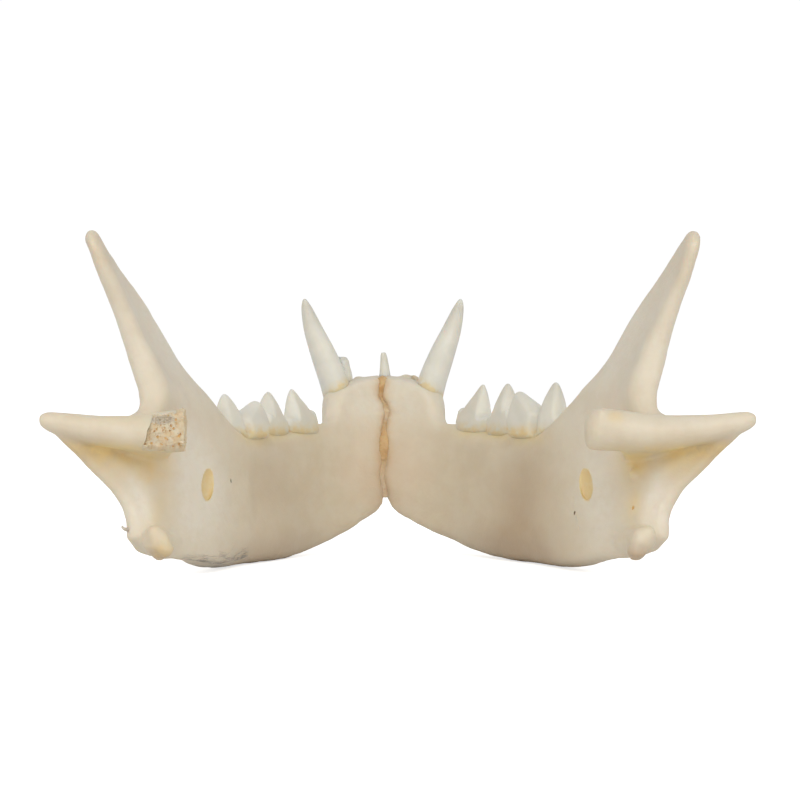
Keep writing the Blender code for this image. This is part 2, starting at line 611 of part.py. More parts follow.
def cartilage(material):
    """The thin band between the halves, inside the outline of the chin."""
    band = slab("symphysis", round_curve(CARTILAGE_OUTLINE, 3), CARTILAGE_HALF, 1)
    for vert in band.data.vertices:
        fore, up, through = vert.co
        vert.co = (through, fore, up)
    bm = bmesh.new()
    bm.from_mesh(band.data)
    bmesh.ops.remove_doubles(bm, verts=bm.verts, dist=WELD)
    bmesh.ops.recalc_face_normals(bm, faces=bm.faces)
    bmesh.ops.triangulate(bm, faces=bm.faces)
    bm.to_mesh(band.data)
    bm.free()
    band.data.materials.clear()
    band.data.materials.append(material)
    return band


def place(nodes):
    """Scales the nodes to metres and centres them over the origin, on the floor."""
    corners = [vert.co for node in nodes for vert in node.data.vertices]
    low = Vector([min(c[k] for c in corners) for k in range(3)])
    high = Vector([max(c[k] for c in corners) for k in range(3)])
    shift = Vector((-(low.x + high.x) / 2, -(low.y + high.y) / 2, -low.z))
    for node in nodes:
        node.data.transform(Matrix.Scale(MM, 4) @ Matrix.Translation(shift))
        node.data.shade_smooth()


def main():
    clear_scene()
    dry_bone = surface("dry_bone", BONE_COLOUR, 0.5)
    dried_cartilage = surface("dried_cartilage", CARTILAGE_COLOUR, 0.6)
    nodes = [half_jaw(RIGHT, dry_bone), half_jaw(LEFT, dry_bone), cartilage(dried_cartilage)]
    place(nodes)


main()
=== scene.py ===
import json
import math

import bmesh
import bpy
import numpy as np
from mathutils import Matrix, Vector, noise
from mathutils.bvhtree import BVHTree

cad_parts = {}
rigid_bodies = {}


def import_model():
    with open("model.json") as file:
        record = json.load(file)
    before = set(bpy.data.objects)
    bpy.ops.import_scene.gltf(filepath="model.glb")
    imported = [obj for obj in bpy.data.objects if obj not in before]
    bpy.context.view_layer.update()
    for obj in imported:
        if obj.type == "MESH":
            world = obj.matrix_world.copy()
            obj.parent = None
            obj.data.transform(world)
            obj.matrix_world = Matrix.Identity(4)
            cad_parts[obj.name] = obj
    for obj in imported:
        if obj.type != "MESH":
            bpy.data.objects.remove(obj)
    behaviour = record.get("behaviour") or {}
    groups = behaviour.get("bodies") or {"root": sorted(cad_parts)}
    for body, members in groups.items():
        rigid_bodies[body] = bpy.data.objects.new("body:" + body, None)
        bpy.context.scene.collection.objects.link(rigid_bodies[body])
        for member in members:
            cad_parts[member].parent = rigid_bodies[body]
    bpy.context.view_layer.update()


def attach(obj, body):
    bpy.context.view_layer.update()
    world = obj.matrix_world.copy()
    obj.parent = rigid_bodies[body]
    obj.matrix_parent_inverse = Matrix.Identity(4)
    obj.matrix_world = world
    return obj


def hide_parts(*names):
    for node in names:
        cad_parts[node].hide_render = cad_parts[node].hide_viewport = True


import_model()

# The lower jaw of a grown cat, dry and clean, seen from behind.
# Shapes are worked out in millimetres, in the bone's own measures:
#     out   distance from the mid plane, outwards
#     fore  distance ahead of the hindmost point of the condyles
#     up    height above the surface that the jaw lies on
# A mesh point holds them as X = out, Y = fore and Z = up until the piece is placed.
MM = 0.001
PLACED_BY = Vector((0, -29.8933, 0.2717))

# Size of the squares that each surface is rebuilt from, and rounds of smoothing
VOXEL = 0.21
PLATE_ROUNDS = 5
BONE_ROUNDS = 11
TOOTH_VOXEL = 0.075
SEAM_VOXEL = 0.07
SPONGE_VOXEL, SPONGE_ROUNDS = 0.085, 12

# The flat slab that a half jaw is bent from
SLAB_HALF = 1.2
RAMUS_ENDS, BODY_STARTS = 24, 30
OUTER_RAMUS_ENDS, OUTER_BODY_STARTS = 19, 28
CHIN_FROM, CHIN_FULL = 46.5, 51

# Chin
SYMPHYSIS_HIND = 49.5
SYMPHYSIS_FOOT = 5.0
SYMPHYSIS_RAKE = 0.5
RAKE_TOP = 13.0
RAKED_AHEAD_OF = 40
INNER_FACE = 0.16

INNER_LINE = ((-9, INNER_FACE), (-0.4, INNER_FACE), (0.2, 0.35), (1, 1.0), (2, 2.0), (3, 3.2),
              (4.8, 4.9), (6.5, 6.1), (9.8, 7.5), (15.8, 9.6), (22.8, 12.3), (25.8, 13.2), (30, 14.5),
              (33, 15.4), (36, 16.45), (39, 17.6), (42, 18.6), (46, 19.5), (55, 21.0))
OUTER_LINE = ((18, 18.6), (22, 18.4), (27, 17.5), (30, 16.5), (37, 13.5), (40, 12.1), (43, 10.8),
              (46, 9.1), (48, 7.8), (50, 6.9), (52, 6.5), (54, 6.2), (56, 5.5), (58, 4.1),
              (60.5, 2.2))
OUTER_LEAN = ((27, 0.0), (37, 0.08), (44, 0.05), (49, -0.07), (60, -0.04))
BODY_MIDDLE = 6.0

# Ramus: thickness by fore, and the coronoid process
RAMUS_THICK = ((4, 1.7), (8, 1.9), (12, 2.5), (15, 3.2), (18, 3.7), (22, 4.3), (27, 4.9))
CORONOID_FRONT = ((12.9, 25.2), (15.4, 22.8), (19.9, 19.3), (24.4, 15.3), (27.7, 11.4), (29.0, 8.8))
CORONOID_HIND = ((14.0, 5.4), (16.0, 6.6), (19.0, 7.7), (22.5, 7.3), (26.0, 5.9), (28.2, 5.4))
CORONOID_TIP = (7.2, 29.35)
CORONOID_THICK = ((12, 1.7), (20, 1.5), (29, 1.15))
CORONOID_FROM, CORONOID_FULL = 11, 16
FRONT_CREST = ((12, 1.4), (24, 1.0), (29, 0.2))
FRONT_CREST_IN, FRONT_CREST_WIDE = 1.2, 2.0
HIND_CREST = ((14, 1.1), (17, 0.9), (22, 0.25), (26, 0.0))
HIND_CREST_IN, HIND_CREST_WIDE = 0.8, 1.8
LEAN_LINE = ((12, 0), (14, 0.0), (16, 0.15), (19, 1.35), (22.5, 2.95), (26, 4.3), (29, 5.0))
LEAN_HIND = 7.0
FRONT_LEAN = 0.125
FRONT_LEAN_FROM, FRONT_LEAN_FULL = 12, 19
RIM_FLARE = ((2.5, 0.9), (3.7, 1.2), (4.9, 1.3), (6.2, 1.7), (7.8, 2.25), (9.2, 2.55), (10.5, 3.2),
             (11.6, 3.4), (12.4, 2.4), (13.2, 1.1), (14.0, 0.25), (16, 0.0))
FLARE_FROM = 11.5
FLARE_CURVE = 1.7
RIM_FORE = 4.0
MOST_SLANT = 1.8
TUCK, TUCK_TOP = 0.28, 2.6
TUCK_FROM, TUCK_FULL = 14, 22
# Rounded hind rim, from the outer end of the condyle down to the angle: fore, out, up, radius
RIM = ((2.0, 28.6, 12.95, 0.6), (2.4, 27.55, 11.9, 0.66), (3.0, 26.15, 10.6, 0.68),
       (3.9, 24.9, 9.1, 0.68), (4.6, 23.55, 7.7, 0.68), (4.9, 22.55, 6.15, 0.7), (4.8, 22.1, 4.9, 0.74),
       (4.5, 21.95, 3.65, 0.88), (5.4, 21.4, 2.8, 0.85), (7.5, 20.6, 2.2, 0.7))
# The flat of the rim, inside its edge
RIM_FLAT = ((3.3, 25.7, 10.2, 0.5), (4.3, 24.0, 8.9, 0.6), (5.0, 22.7, 7.5, 0.62),
            (5.4, 21.7, 6.1, 0.62), (5.4, 21.2, 4.9, 0.65), (5.2, 21.1, 3.7, 0.6))
FOSSA_AT, FOSSA_SIZE = (13.0, 9.8), (10.0, 6.8)
FOSSA_DEPTH = 1.1
FOSSA_FLOOR = 0.55

# Condyle, from its inner end outwards: out, middle up, half height, middle fore, half depth
CONDYLE = ((15.55, 12.25, 1.0, 2.6, 1.2), (15.95, 12.4, 1.6, 2.6, 1.8), (16.5, 12.5, 1.78, 2.6, 2.1),
           (18, 12.36, 1.76, 2.5, 2.2), (19.6, 12.2, 1.72, 2.4, 2.2), (21.6, 12.12, 1.53, 2.35, 2.0),
           (23.2, 12.2, 1.4, 2.3, 1.7), (25.9, 12.5, 1.18, 2.2, 1.3), (27.8, 12.83, 1.05, 2.1, 1.1),
           (29.0, 13.1, 0.88, 2.0, 0.95), (29.78, 13.25, 0.5, 2.0, 0.55))
CONDYLE_CORNER = ((2.2, 16.75, 13.75), (1.6, 0.5, 0.5))
# Neck, from the condyle forwards: fore, out, up, half width, half height
NECK = ((2.2, 20.6, 12.1, 3.6, 1.4), (4.4, 20.9, 11.9, 3.3, 1.55), (6.2, 20.8, 11.7, 2.3, 1.75),
        (8.4, 20.2, 11.4, 1.2, 1.9))
# Angular process, from its root to its blunt end: fore, out, up, radius
ANGULAR = ((9.5, 18.9, 2.7, 0.9), (6.5, 19.7, 2.9, 1.2), (4.2, 20.2, 3.1, 1.25),
           (2.9, 20.3, 3.15, 1.15), (2.35, 20.3, 3.1, 0.95), (2.05, 20.3, 3.1, 0.6))
ANGULAR_NUB = ((4.6, 20.0, 2.6, 0.75), (3.2, 19.95, 2.25, 0.9), (2.3, 19.9, 2.25, 0.55))

# Round lumps that make up the knob at the angle, as balls
KNOB_LUMPS = {"right": (((2.2, 20.6, 3.7), (0.95, 0.75, 0.8)), ((2.15, 20.2, 3.35), (0.95, 0.95, 0.95)),
                        ((2.3, 19.9, 2.5), (0.85, 0.85, 0.8))),
              "left": (((2.2, 20.25, 3.78), (0.95, 0.75, 0.85)), ((2.15, 19.95, 3.2), (0.95, 0.95, 1.1)),
                       ((2.3, 19.45, 2.6), (0.85, 0.78, 0.8)))}
# A splinter that stands off the left rim, and the half sizes of its section
SPLINTER = ((4.6, 22.3, 3.95, 0.2, 0.2), (4.2, 22.6, 4.05, 0.17, 0.17), (4.0, 22.9, 4.15, 0.15, 0.14),
            (3.95, 23.05, 4.3, 0.12, 0.1), (3.95, 23.0, 4.42, 0.06, 0.06))

# Outline of the half jaw from the side, as fore and up, from the chin back along the lower border
LOWER_BORDER = ((59.7, 16.9), (58.7, 13.7), (55.8, 9.6), (52.2, 6.2), (49.6, 4.3), (46.8, 2.3),
                (43.0, 0.65), (38.0, -0.2), (30.0, -0.3), (20.0, -0.1), (14.0, 0.4), (9.5, 1.2),
                (5.5, 1.6))
HIND_BORDER = ((3.8, 3.0), (4.4, 4.8), (4.8, 6.4), (4.2, 8.4), (3.0, 10.4), (2.6, 12.4))
UPPER_BORDER = ((27.8, 11.9), (30.0, 11.75), (37.0, 11.8), (43.0, 12.1), (46.3, 12.5), (48.1, 12.6),
                (49.3, 13.3), (50.1, 14.6), (51.6, 16.0), (54.0, 16.9), (56.4, 17.3), (58.8, 17.45))
LIFT_FROM, LIFT_MOST, LIFT_TO = 33, 42, 50

# Holes
JAW_FORAMEN_AT = (14.4, 7.4)
JAW_FORAMEN_SIZE = (1.2, 0.5, 1.55)
FORAMEN_SLANT = (-0.38, 0.5)
FORAMEN_SINK = 0.05
UPRIGHT = (0.0, 0.0)
CHIN_FORAMINA = (((47.4, 8.9, 6.6), (0.8, 1.2, 0.6)), ((43.4, 10.9, 5.6), (0.6, 1.1, 0.5)),
                 ((52.5, 6.5, 8.6), (0.45, 1.0, 0.4)))
SOCKET_UP = 17.4
SOCKET_RADIUS = 0.42
SOCKET_DEPTH = 1.5

# Cheek teeth: fore and out of the crown's middle, how far it slants inwards for each step forward,
# length, width, height, root, the cusps as places along the crown from its front with heights, and
# fullness of the cusps
CHEEK_TEETH = {
    "third_premolar": (43.8, 9.2, 0.5, 7.4, 2.2, 4.6, 5.0,
                       ((0.04, 0.50), (0.16, 0.48), (0.36, 0.78), (0.45, 0.97), (0.52, 1.0), (0.58, 0.84),
                        (0.62, 0.58), (0.66, 0.36), (0.75, 0.31), (0.86, 0.34)), 1.9),
    "fourth_premolar": (37.3, 11.65, 0.36, 6.9, 2.6, 4.7, 5.0,
                        ((0.10, 0.36), (0.21, 0.36), (0.31, 0.68), (0.38, 0.93), (0.44, 1.0), (0.51, 0.92),
                         (0.59, 0.66), (0.67, 0.46), (0.76, 0.50), (0.85, 0.34)), 2.0),
    "first_molar": (29.4, 14.24, 0.56, 8.4, 2.8, 4.75, 5.5,
                    ((0.03, 0.54), (0.11, 0.82), (0.28, 0.70), (0.44, 0.55), (0.57, 0.44), (0.66, 0.74),
                     (0.72, 0.95), (0.77, 1.0), (0.82, 0.94), (0.87, 0.70), (0.92, 0.36)), 1.7),
}
# How a side's cheek teeth differ: fore, out, slant and outward lean of the crown added, by tooth
TOOTH_SHIFTS = {"right": {"third_premolar": (0.0, 0.4, 0.0, 0.35), "fourth_premolar": (0.0, 0.1, 0.0, 0.0),
                          "first_molar": (0.0, -0.15, 0.1, 0.0)},
                "left": {"third_premolar": (0.0, 0.1, 0.0, 0.45), "fourth_premolar": (0.0, 0.0, 0.0, 0.0),
                         "first_molar": (0.0, 0.0, 0.0, 0.25)}}
GUM_LINE = 11.8
TOOTH_HALF = 0.45
NECK_SHARE = 0.86
ROOT_OUTER, ROOT_INNER = 0.72, 0.25
FORK_DEPTH = 0.25
BULGE_UP = 0.16
CUSP_NARROW = 0.82
CROWN_LEAN = 0.3
# Depth at which a root has reached the middle of the bone
SUNK_AT = 1.6
NECK_NARROW, NECK_TOP, NECK_FOOT = 0.05, 0.12, -0.1
END_NARROW, END_CURVE = 0.45, 3

# The right carnassial's low inner lobe, as balls: middle (fore, out, up) and half sizes
INNER_LOBE = (((30.2, 13.3, 12.4), (1.3, 1.15, 2.3)),)
LOBE_ROUNDS = 5
# The notch in the first molar's blade: place along the crown, half width, share of the width lost
NOTCH_AT, NOTCH_WIDE, NOTCH_DEPTH, NOTCH_RISE = 0.58, 0.55, 0.5, (-0.5, 0.5)
# The raised edge of bone along the inner side of the cheek teeth: fore, out, up, half height and half width
ALVEOLAR_EDGE = ((48.3, 7.3, 10.8, 0.4, 0.4), (46.8, 7.75, 10.85, 0.8, 0.8),
                 (43.6, 8.85, 10.7, 0.95, 0.95), (40.6, 10.05, 10.85, 0.9, 0.95),
                 (37.3, 11.05, 10.65, 1.0, 1.0), (34.4, 11.75, 10.85, 1.0, 0.95),
                 (32.4, 12.2, 11.1, 1.0, 1.0), (30.4, 13.1, 11.1, 1.0, 1.05),
                 (27.6, 14.45, 10.95, 1.0, 1.0), (25.6, 15.7, 11.0, 0.5, 0.5))

# Canine and incisors: fore, out, up of the axis, then half length and half width of the section
CANINE = ((50.7, 4.2, 9.0, 1.1, 0.9), (51.6, 4.15, 11.0, 1.8, 1.3), (52.6, 4.1, 13.0, 2.25, 1.5),
          (54.5, 5.0, 16.6, 2.05, 1.45), (55.8, 6.05, 19.4, 1.65, 1.3), (56.5, 7.1, 22.0, 1.2, 1.0),
          (56.5, 7.75, 24.0, 0.7, 0.64), (56.3, 8.0, 24.95, 0.34, 0.34), (56.2, 8.05, 25.3, 0.12, 0.14))
FIRST_INCISOR = ((56.9, 0.55, 14.5, 0.45, 0.35), (58.0, 0.32, 16.8, 0.7, 0.62),
                 (58.3, 0.27, 17.8, 0.6, 0.54), (58.4, 0.22, 18.8, 0.42, 0.42),
                 (58.4, 0.16, 19.5, 0.3, 0.33), (58.4, 0.12, 19.85, 0.16, 0.2))
THIRD_INCISOR = ((54.6, 3.7, 14.5, 0.5, 0.6), (55.5, 4.05, 17.0, 0.9, 0.95),
                 (55.7, 4.25, 18.2, 0.95, 0.88), (55.8, 4.32, 18.9, 0.85, 0.82),
                 (55.8, 4.3, 19.2, 0.65, 0.68), (55.8, 4.3, 19.35, 0.2, 0.35))
INCISOR_SOCKETS = ((0.85, 57.9), (2.0, 57.7), (3.35, 56.9))
# The swelling of bone round the canine's root, in the same way as the canine
CANINE_SWELLING = ((51.5, 4.3, 9.0, 0.9, 1.1), (52.2, 4.3, 11.0, 1.6, 1.75),
                   (52.8, 4.35, 12.8, 2.2, 2.0), (53.3, 4.45, 14.0, 2.3, 1.9),
                   (53.7, 4.62, 14.9, 2.2, 1.66), (53.9, 4.75, 15.5, 2.0, 1.4))

# What differs between the sides
RIGHT = {
    "name": "right", "sign": 1, "border_lift": 0.45, "broken": False, "foramen_shift": -0.5,
    "lean": ((12, 0), (29, 0)),
    "front_lean": ((12, 0), (14.5, 0.65), (17, 0.85), (19.5, 0.65), (22, 0.15), (25, -0.1), (29, 0)),
    "wear": (0.0, 0.0, 0.0),
    "incisors": (("first_incisor", FIRST_INCISOR),),
    "empty_sockets": (1, 2),
    "bumps": ((57.4, 2.4, 16.95, 0.7), (57.2, 1.3, 16.75, 0.6), (57.4, 3.3, 16.8, 0.7),
              (6.97, 20.1, 8.69, 0.5)),
    "pinholes": (((16.13, 16.61, 8.62), 0.17), ((15.23, 15.87, 4.94), 0.16), ((15.9, 15.9, 5.6), 0.09),
                 ((15.0, 16.0, 4.3), 0.08)),
    "pits": (((5.97, 19.92, 5.75), 0.16), ((5.6, 20.1, 4.9), 0.10)),
    "scratches": (((15.3, 4.9), (14.6, 4.5), (14.2, 4.0), (13.7, 3.5)),
                  ((15.9, 6.4), (15.6, 5.9), (15.6, 5.4))),
    "stain_and_recess_shade": ((1.6, 17.9, 13.4, 1.2, 0.7, 0.5, 0.7), (6.0, 20.0, 5.8, 1.0, 0.9, 1.6, 0.5)),
    # Painted shade: darker brown at the middle and the foot of the body's inner face
    "shade_and_brown": ((27, 12.5, 6.5, 7.5, 4, 4.5, 0.75), (27, 12.5, 1.8, 8, 4, 2.6, 0.75)),
    "pale_and_painted_light": (), "grey_and_dent_shadow": (),
}
LEFT = {
    "name": "left", "sign": -1, "border_lift": 0.0, "broken": True, "foramen_shift": 0.5,
    "lean": ((12, 0), (15, -0.3), (18, -0.2), (20.5, -0.05), (22.5, 0.0), (25, 0.1), (27, 0.35),
             (28.5, 0.6)),
    "front_lean": ((12, 0), (14.5, 0.8), (16, 1.05), (18, 0.95), (20, 0.65), (22, 0.3), (24, 0.1),
                   (29, 0.1)),
    "wear": (0.45, 0.8, 1.1),
    "incisors": (("third_incisor", THIRD_INCISOR),),
    "empty_sockets": (0, 1),
    "bumps": ((57.2, 2.5, 16.85, 0.6), (57.4, 1.4, 16.8, 0.55)),
    "pinholes": (((20.79, 14.53, 7.62), 0.15), ((21.6, 14.2, 5.9), 0.08)),
    "pits": (((6.0, 20.6, 6.2), 0.1),),
    "scratches": (((17.6, 4.9), (18.3, 4.3), (18.7, 3.7)), ((18.4, 2.3), (19.0, 1.8), (19.2, 1.3))),
    "stain_and_recess_shade": ((5.4, 21.2, 8.8, 0.9, 0.7, 0.8, 1.6), (4.0, 20.0, 5.5, 2.0, 0.8, 2.5, 0.4),
             (2.0, 19.5, 2.7, 1.2, 0.9, 0.9, 0.55), (1.0, 22.5, 13.4, 1.5, 3.5, 0.6, 0.3)),
    # Painted light: lighter on the inner face of the ramus
    "pale_and_painted_light": ((12.0, 19.0, 10.5, 4, 3, 4, 0.45), (17.0, 16.5, 6.0, 5, 3, 4, 0.8)),
    # Painted shade: darker brown at the middle of the body's inner face
    "shade_and_brown": ((32, 12.0, 6.5, 7, 4, 4.5, 0.45),),
    "grey_and_dent_shadow": ((16.0, 16.0, 0.0, 6.5, 3.0, 0.75, 0.8),),
}

# The break at the left condyle: the shell of bone ends on a line from foot to top (out and up), it is lost
# to this depth (fore), and the inner end has gone from END_AT inwards (out)
BREAK_TOP, BREAK_FOOT = (20.25, 13.9), (21.25, 10.6)
BREAK_DEPTH = 0.72
END_AT = 17.75
# Fore and up of the middle of the end that has gone
END_MIDDLE = (2.5, 12.3)
BREAK_SIZE, BREAK_BACK = 7.0, 5.0
BREAK_STEPS = 60
BREAK_ROUGH = 0.17
EDGE_ROUGH = 0.10
SPONGE_DEEP, SPONGE_OVERLAP = 0.7, 0.12
SPONGE_FACING = (-0.9, -1.2, 0.5)
SPONGE_FULL, SPONGE_UNEVEN, SPONGE_SWELL = -0.02, 0.16, 0.55
# A dent at the top of the break, as middle and half sizes
DENT = ((0.55, 19.55, 13.35), (0.75, 0.95, 0.42))
# Strength of the painted shadow laid grey in the dent, and how far it reaches as a share of the dent's size
DENT_SHADOW, DENT_REACH = 0.55, 1.2
CRUMBS_FACING = (0.0, -0.45, 0.9)
# Pores as name, how many to a square mm, least and greatest size, and seed, and the crumbs in the same way
PORE_SETS = (("fine_pores", 22.0, 0.035, 0.085, 4), ("wide_pores", 3.0, 0.08, 0.17, 6))
CRUMBS = ("bone_crumbs", 5.0, 0.05, 0.15, 9)
CRUMB_VOXEL, PORE_VOXEL = 0.035, 0.03
# Least cosine between a surface and the way it has to face
FACING_LEAST = 0.4
# The tint of the pores grows between these depths
SKIN_DEPTH = (0.015, 0.13)
# Coarse and fine bumps of the break, and the waves of its outline, by size
BREAK_GRAINS, FINE_SHARE, EDGE_WAVES = (0.9, 0.35), 0.6, (0.8, 0.7)

# Dried threads on the left body: how many, where they lie, and their sizes
FIBRES = 80
FIBRES_FROM, FIBRES_OVER = 9.5, 14
FIBRES_FOOT, FIBRES_HIGH, FIBRES_LOW_DOWN = 0.05, 1.5, 1.5
FIBRE_SHORTEST, FIBRE_LONGER, FIBRE_TILT = 1.2, 1.0, 0.35
FIBRE_RADIUS, FIBRE_LIFT, FIBRE_ARCH = 0.019, 0.01, 0.05
# A thread starts this far inside the bone's inner face, and then moves to its surface
FIBRE_INSIDE = 0.2
# Thickness of a thread along its run, as shares of its radius
THREAD_SHARES = (0.55, 1.1)

# Scratches: radius, how far they stray, and the length of one bend
SCRATCH_RADIUS, SCRATCH_STRAY, SCRATCH_WAVE = 0.035, 0.07, 0.5
# Vector noise starts from the clock unless it is given a seed
NOISE_SEED = 7
# Holes no wider than this are cut with a coarser ball
SMALL_HOLE = 0.2
# The wall of a hole is tinted out to this share of its radius, with an edge this soft
WALL_EDGE, WALL_SOFT = 1.06, 0.04
# Angles between faces from which an edge is sharp
SHARP_BONE, SHARP_SPONGE, SHARP_TOOTH = 50, 35, 60

# Soft spots of colour: fore, out, up, half sizes along them, and strength
# Yellow stain along the tooth margin, round the canine and by the angle, and painted warm shade in the
# recess under the condyles
STAIN_AND_RECESS_SHADE = ((6.0, 21.5, 9.8, 3.5, 5.0, 1.4, 0.75), (5.0, 25.0, 11.0, 2.5, 3.0, 1.2, 0.95),
        (8.0, 19.8, 6.5, 2.5, 1.5, 4, 0.25), (30, 14.0, 11.5, 4.5, 2.5, 0.8, 0.7),
        (38, 11.3, 11.6, 5.5, 2.2, 0.7, 0.75), (44, 9.0, 11.8, 4.0, 2.0, 0.7, 0.7),
        (2.0, 22.5, 10.9, 1.6, 5.0, 0.6, 0.55), (54.2, 4.9, 15.7, 2.4, 1.9, 0.7, 0.6))
ROSE = ((50.5, 0.0, 8.5, 3, 3.5, 5.0, 0.5), (47.5, 3.0, 7.0, 2.5, 2.0, 2.5, 0.3))
# Painted light, with some paler bone: lighter on the lit tops of the condyles, on the rims, the coronoids,
# the ramus and the chin
PALE_AND_PAINTED_LIGHT = ((1.5, 22.0, 13.2, 1.6, 6.0, 0.9, 0.3), (5.0, 21.9, 6.3, 1.8, 1.3, 3.4, 0.9),
        (54, 3.0, 14.5, 4, 4, 4, 0.8), (14.0, 17.5, 8.5, 4.5, 2.5, 4.5, 0.5),
        (10.5, 18.3, 4.5, 5.0, 2.5, 3.5, 0.7), (18, 22, 20, 6, 5, 6, 0.9), (9, 24, 20, 4, 4, 7, 0.5))
# Painted shade: darker brown along the inner faces of the bodies and under the condyles, where shade falls;
# the spot on the nub at the angle is brown bone
SHADE_AND_BROWN = ((30, 12, -0.2, 18, 8, 2.4, 0.75), (2.2, 19.8, 1.9, 1.4, 1.5, 0.8, 1.1),
         (5.0, 24.0, 11.0, 3, 5.0, 0.9, 0.6), (3.2, 26.0, 11.0, 2.5, 2.5, 1.3, 0.65),
         (2.0, 22.0, 10.5, 1.6, 5.5, 0.6, 0.4))
ROUGH_ENDS = ((1.8, 20.3, 3.2, 1.6, 1.8, 1.6, 1.0), (2.6, 19.8, 2.0, 1.6, 1.4, 0.9, 1.8))

# Relief of the bone, each as height and size: three slow swells, then two where muscles held
RELIEF = ((0.10, 5.0), (0.045, 1.9), (0.012, 0.7), (0.12, 1.0), (0.05, 0.5))
# The relief fades out within about this distance of the joint at the chin
JOINT_CALM = 1.2

# How far right of the mid plane the seam between the halves wanders, by up
SEAM_WANDER = ((4, 0.15), (5.1, 0.14), (6.2, -0.02), (7.2, -0.19), (8.6, -0.03), (10.2, 0.0),
               (11.4, 0.04), (12.3, 0.10), (13.6, 0.38), (14.4, 0.19), (15.1, -0.12), (15.7, -0.19),
               (16.8, -0.04), (18, 0.0))
WANDER_FULL, WANDER_NEAR, WANDER_FROM = 0.3, 3.0, (46, 49)
WANDER_FINE, WANDER_SIZE = 0.09, 0.6
# The cartilage from the side, as fore and up, and its half width at the hind edge, by up
SEAM_OUTLINE = ((58.9, 16.9), (58.0, 14.0), (55.2, 9.9), (52.0, 6.8), (50.1, 5.1), (50.0, 5.4),
                (50.6, 6.7), (52.3, 10.0), (54.1, 13.6), (55.7, 16.6), (56.3, 17.3), (57.6, 17.4))
SEAM_HALF = 0.15
SEAM_WIDE = ((4, 0.12), (6.2, 0.12), (7.4, 0.14), (8.4, 0.26), (10.2, 0.38), (11.5, 0.30), (12.4, 0.18),
             (13.4, 0.16), (14.4, 0.2), (15.2, 0.26), (16.6, 0.32), (18, 0.3))
SEAM_FOOT, SEAM_EDGE, SEAM_PROUD = 0.62, (0.35, 1.3), 0.25
SEAM_RELIEF = ((0.10, 0.8), (0.08, 0.33))
SEAM_LEVEL = ((4.5, -0.1), (5.6, 0.05), (7.2, 0.12), (8.2, 0.25), (9.2, 0.5), (10.2, 0.75),
              (11.2, 0.55), (11.9, 0.2), (12.4, 0.05), (13.2, 0.15), (13.8, 0.4), (14.4, 0.1),
              (15.2, 0.0), (16.0, 0.3), (16.6, 0.5), (18, 0.3))
SEAM_STRENGTH = ((4, 0.25), (6.5, 0.3), (8, 0.5), (10, 0.8), (12, 0.6), (14, 0.6), (16.5, 0.7),
                 (18, 0.5))
SEAM_SPREAD, STAIN_STRAY, STAIN_SIZE, STAIN_FROM = 0.4, 0.08, 0.5, (45, 48)
# Where the cartilage is pale, by up
SEAM_FAINT = ((4, 0.8), (7.5, 0.7), (8.6, 0.35), (9.5, 0.0), (12, 0.1), (12.8, 0.5), (13.6, 0.65),
              (14.6, 0.5), (15.3, 0.1), (18, 0.0))
JOINT_EDGE, JOINT_CLOSED, JOINT_FROM, JOINT_ABOVE = 1.6, 0.8, (46, 48.5), (4.9, 6.6)

# Where enamel ends, by up: all neck below the first, all crown above the second
NECKS = {"cheek": (11.3, 13.1), "canine": (15.9, 17.2), "incisor": (16.0, 17.6)}
# The canine's enamel ends higher on its inner side, by this much for each mm, measured from here out
NECK_SLANT, SLANT_FROM = 0.69, 4.5
# Where teeth turn grey towards their tips, by up
TIPS = {"cheek": (14.4, 16.8), "canine": (20.5, 25.5), "incisor": (17.8, 20.0)}

# Patterns of colour are as fine along the jaw as this share of what they are across it
PATCH_STRETCH = 0.4
# Noise at which patches of colour begin and are full, and at which a tint is thinnest and thickest
MOTTLE_FROM, MOTTLE_FULL = 0.32, 0.68
TINT_THIN, TINT_THICK = 0.3, 0.7
# Tiny pits: their reach in their cells, and the share of cells that have none
PIT_REACH, PIT_FREE = 0.22, 0.8

# Camera and studio
CAMERA_AT, CAMERA_YAW = (-0.0070388, -0.2495183, 0.0151658), 1.83346
LENS, SENSOR, NEAREST = 120.2916, 36, 0.005
FLOOR_RADIUS, FLOOR_GLOW = 6.0, 0.7
WORLD_LIGHT, WORLD_SEEN = 0.56, 1.02
LIT_POINT = (0, 0, 0.012)
# Lights, each as name, place, size and power, all turned to the lit point
LIGHTS = (("softbox", (0.02, -0.8, 0.62), 0.8, 2.5), ("left_fill", (-0.5, -0.5, 0.3), 0.5, 0.85),
          ("right_fill", (0.5, -0.5, 0.3), 0.5, 0.85))

# Colours, as linear light
BONE_LIGHT, BONE_DARK = (0.74, 0.655, 0.505), (0.69, 0.59, 0.435)
# The first tint is yellow stain, and painted warm shade in the recess under the condyles
STAIN_AND_RECESS_SHADE_TINT, ROSE_TINT = (0.80, 0.61, 0.27), (0.76, 0.60, 0.44)
# The first tint is painted light on lit faces, and paler bone
# The second tint is painted shade along the bodies and under the condyles, and brown bone at the nub
PALE_AND_PAINTED_LIGHT_TINT, SHADE_AND_BROWN_TINT = (0.80, 0.74, 0.62), (0.52, 0.40, 0.27)
HOLE_TINT, SEAM_TINT = (0.78, 0.61, 0.31), (0.70, 0.48, 0.27)
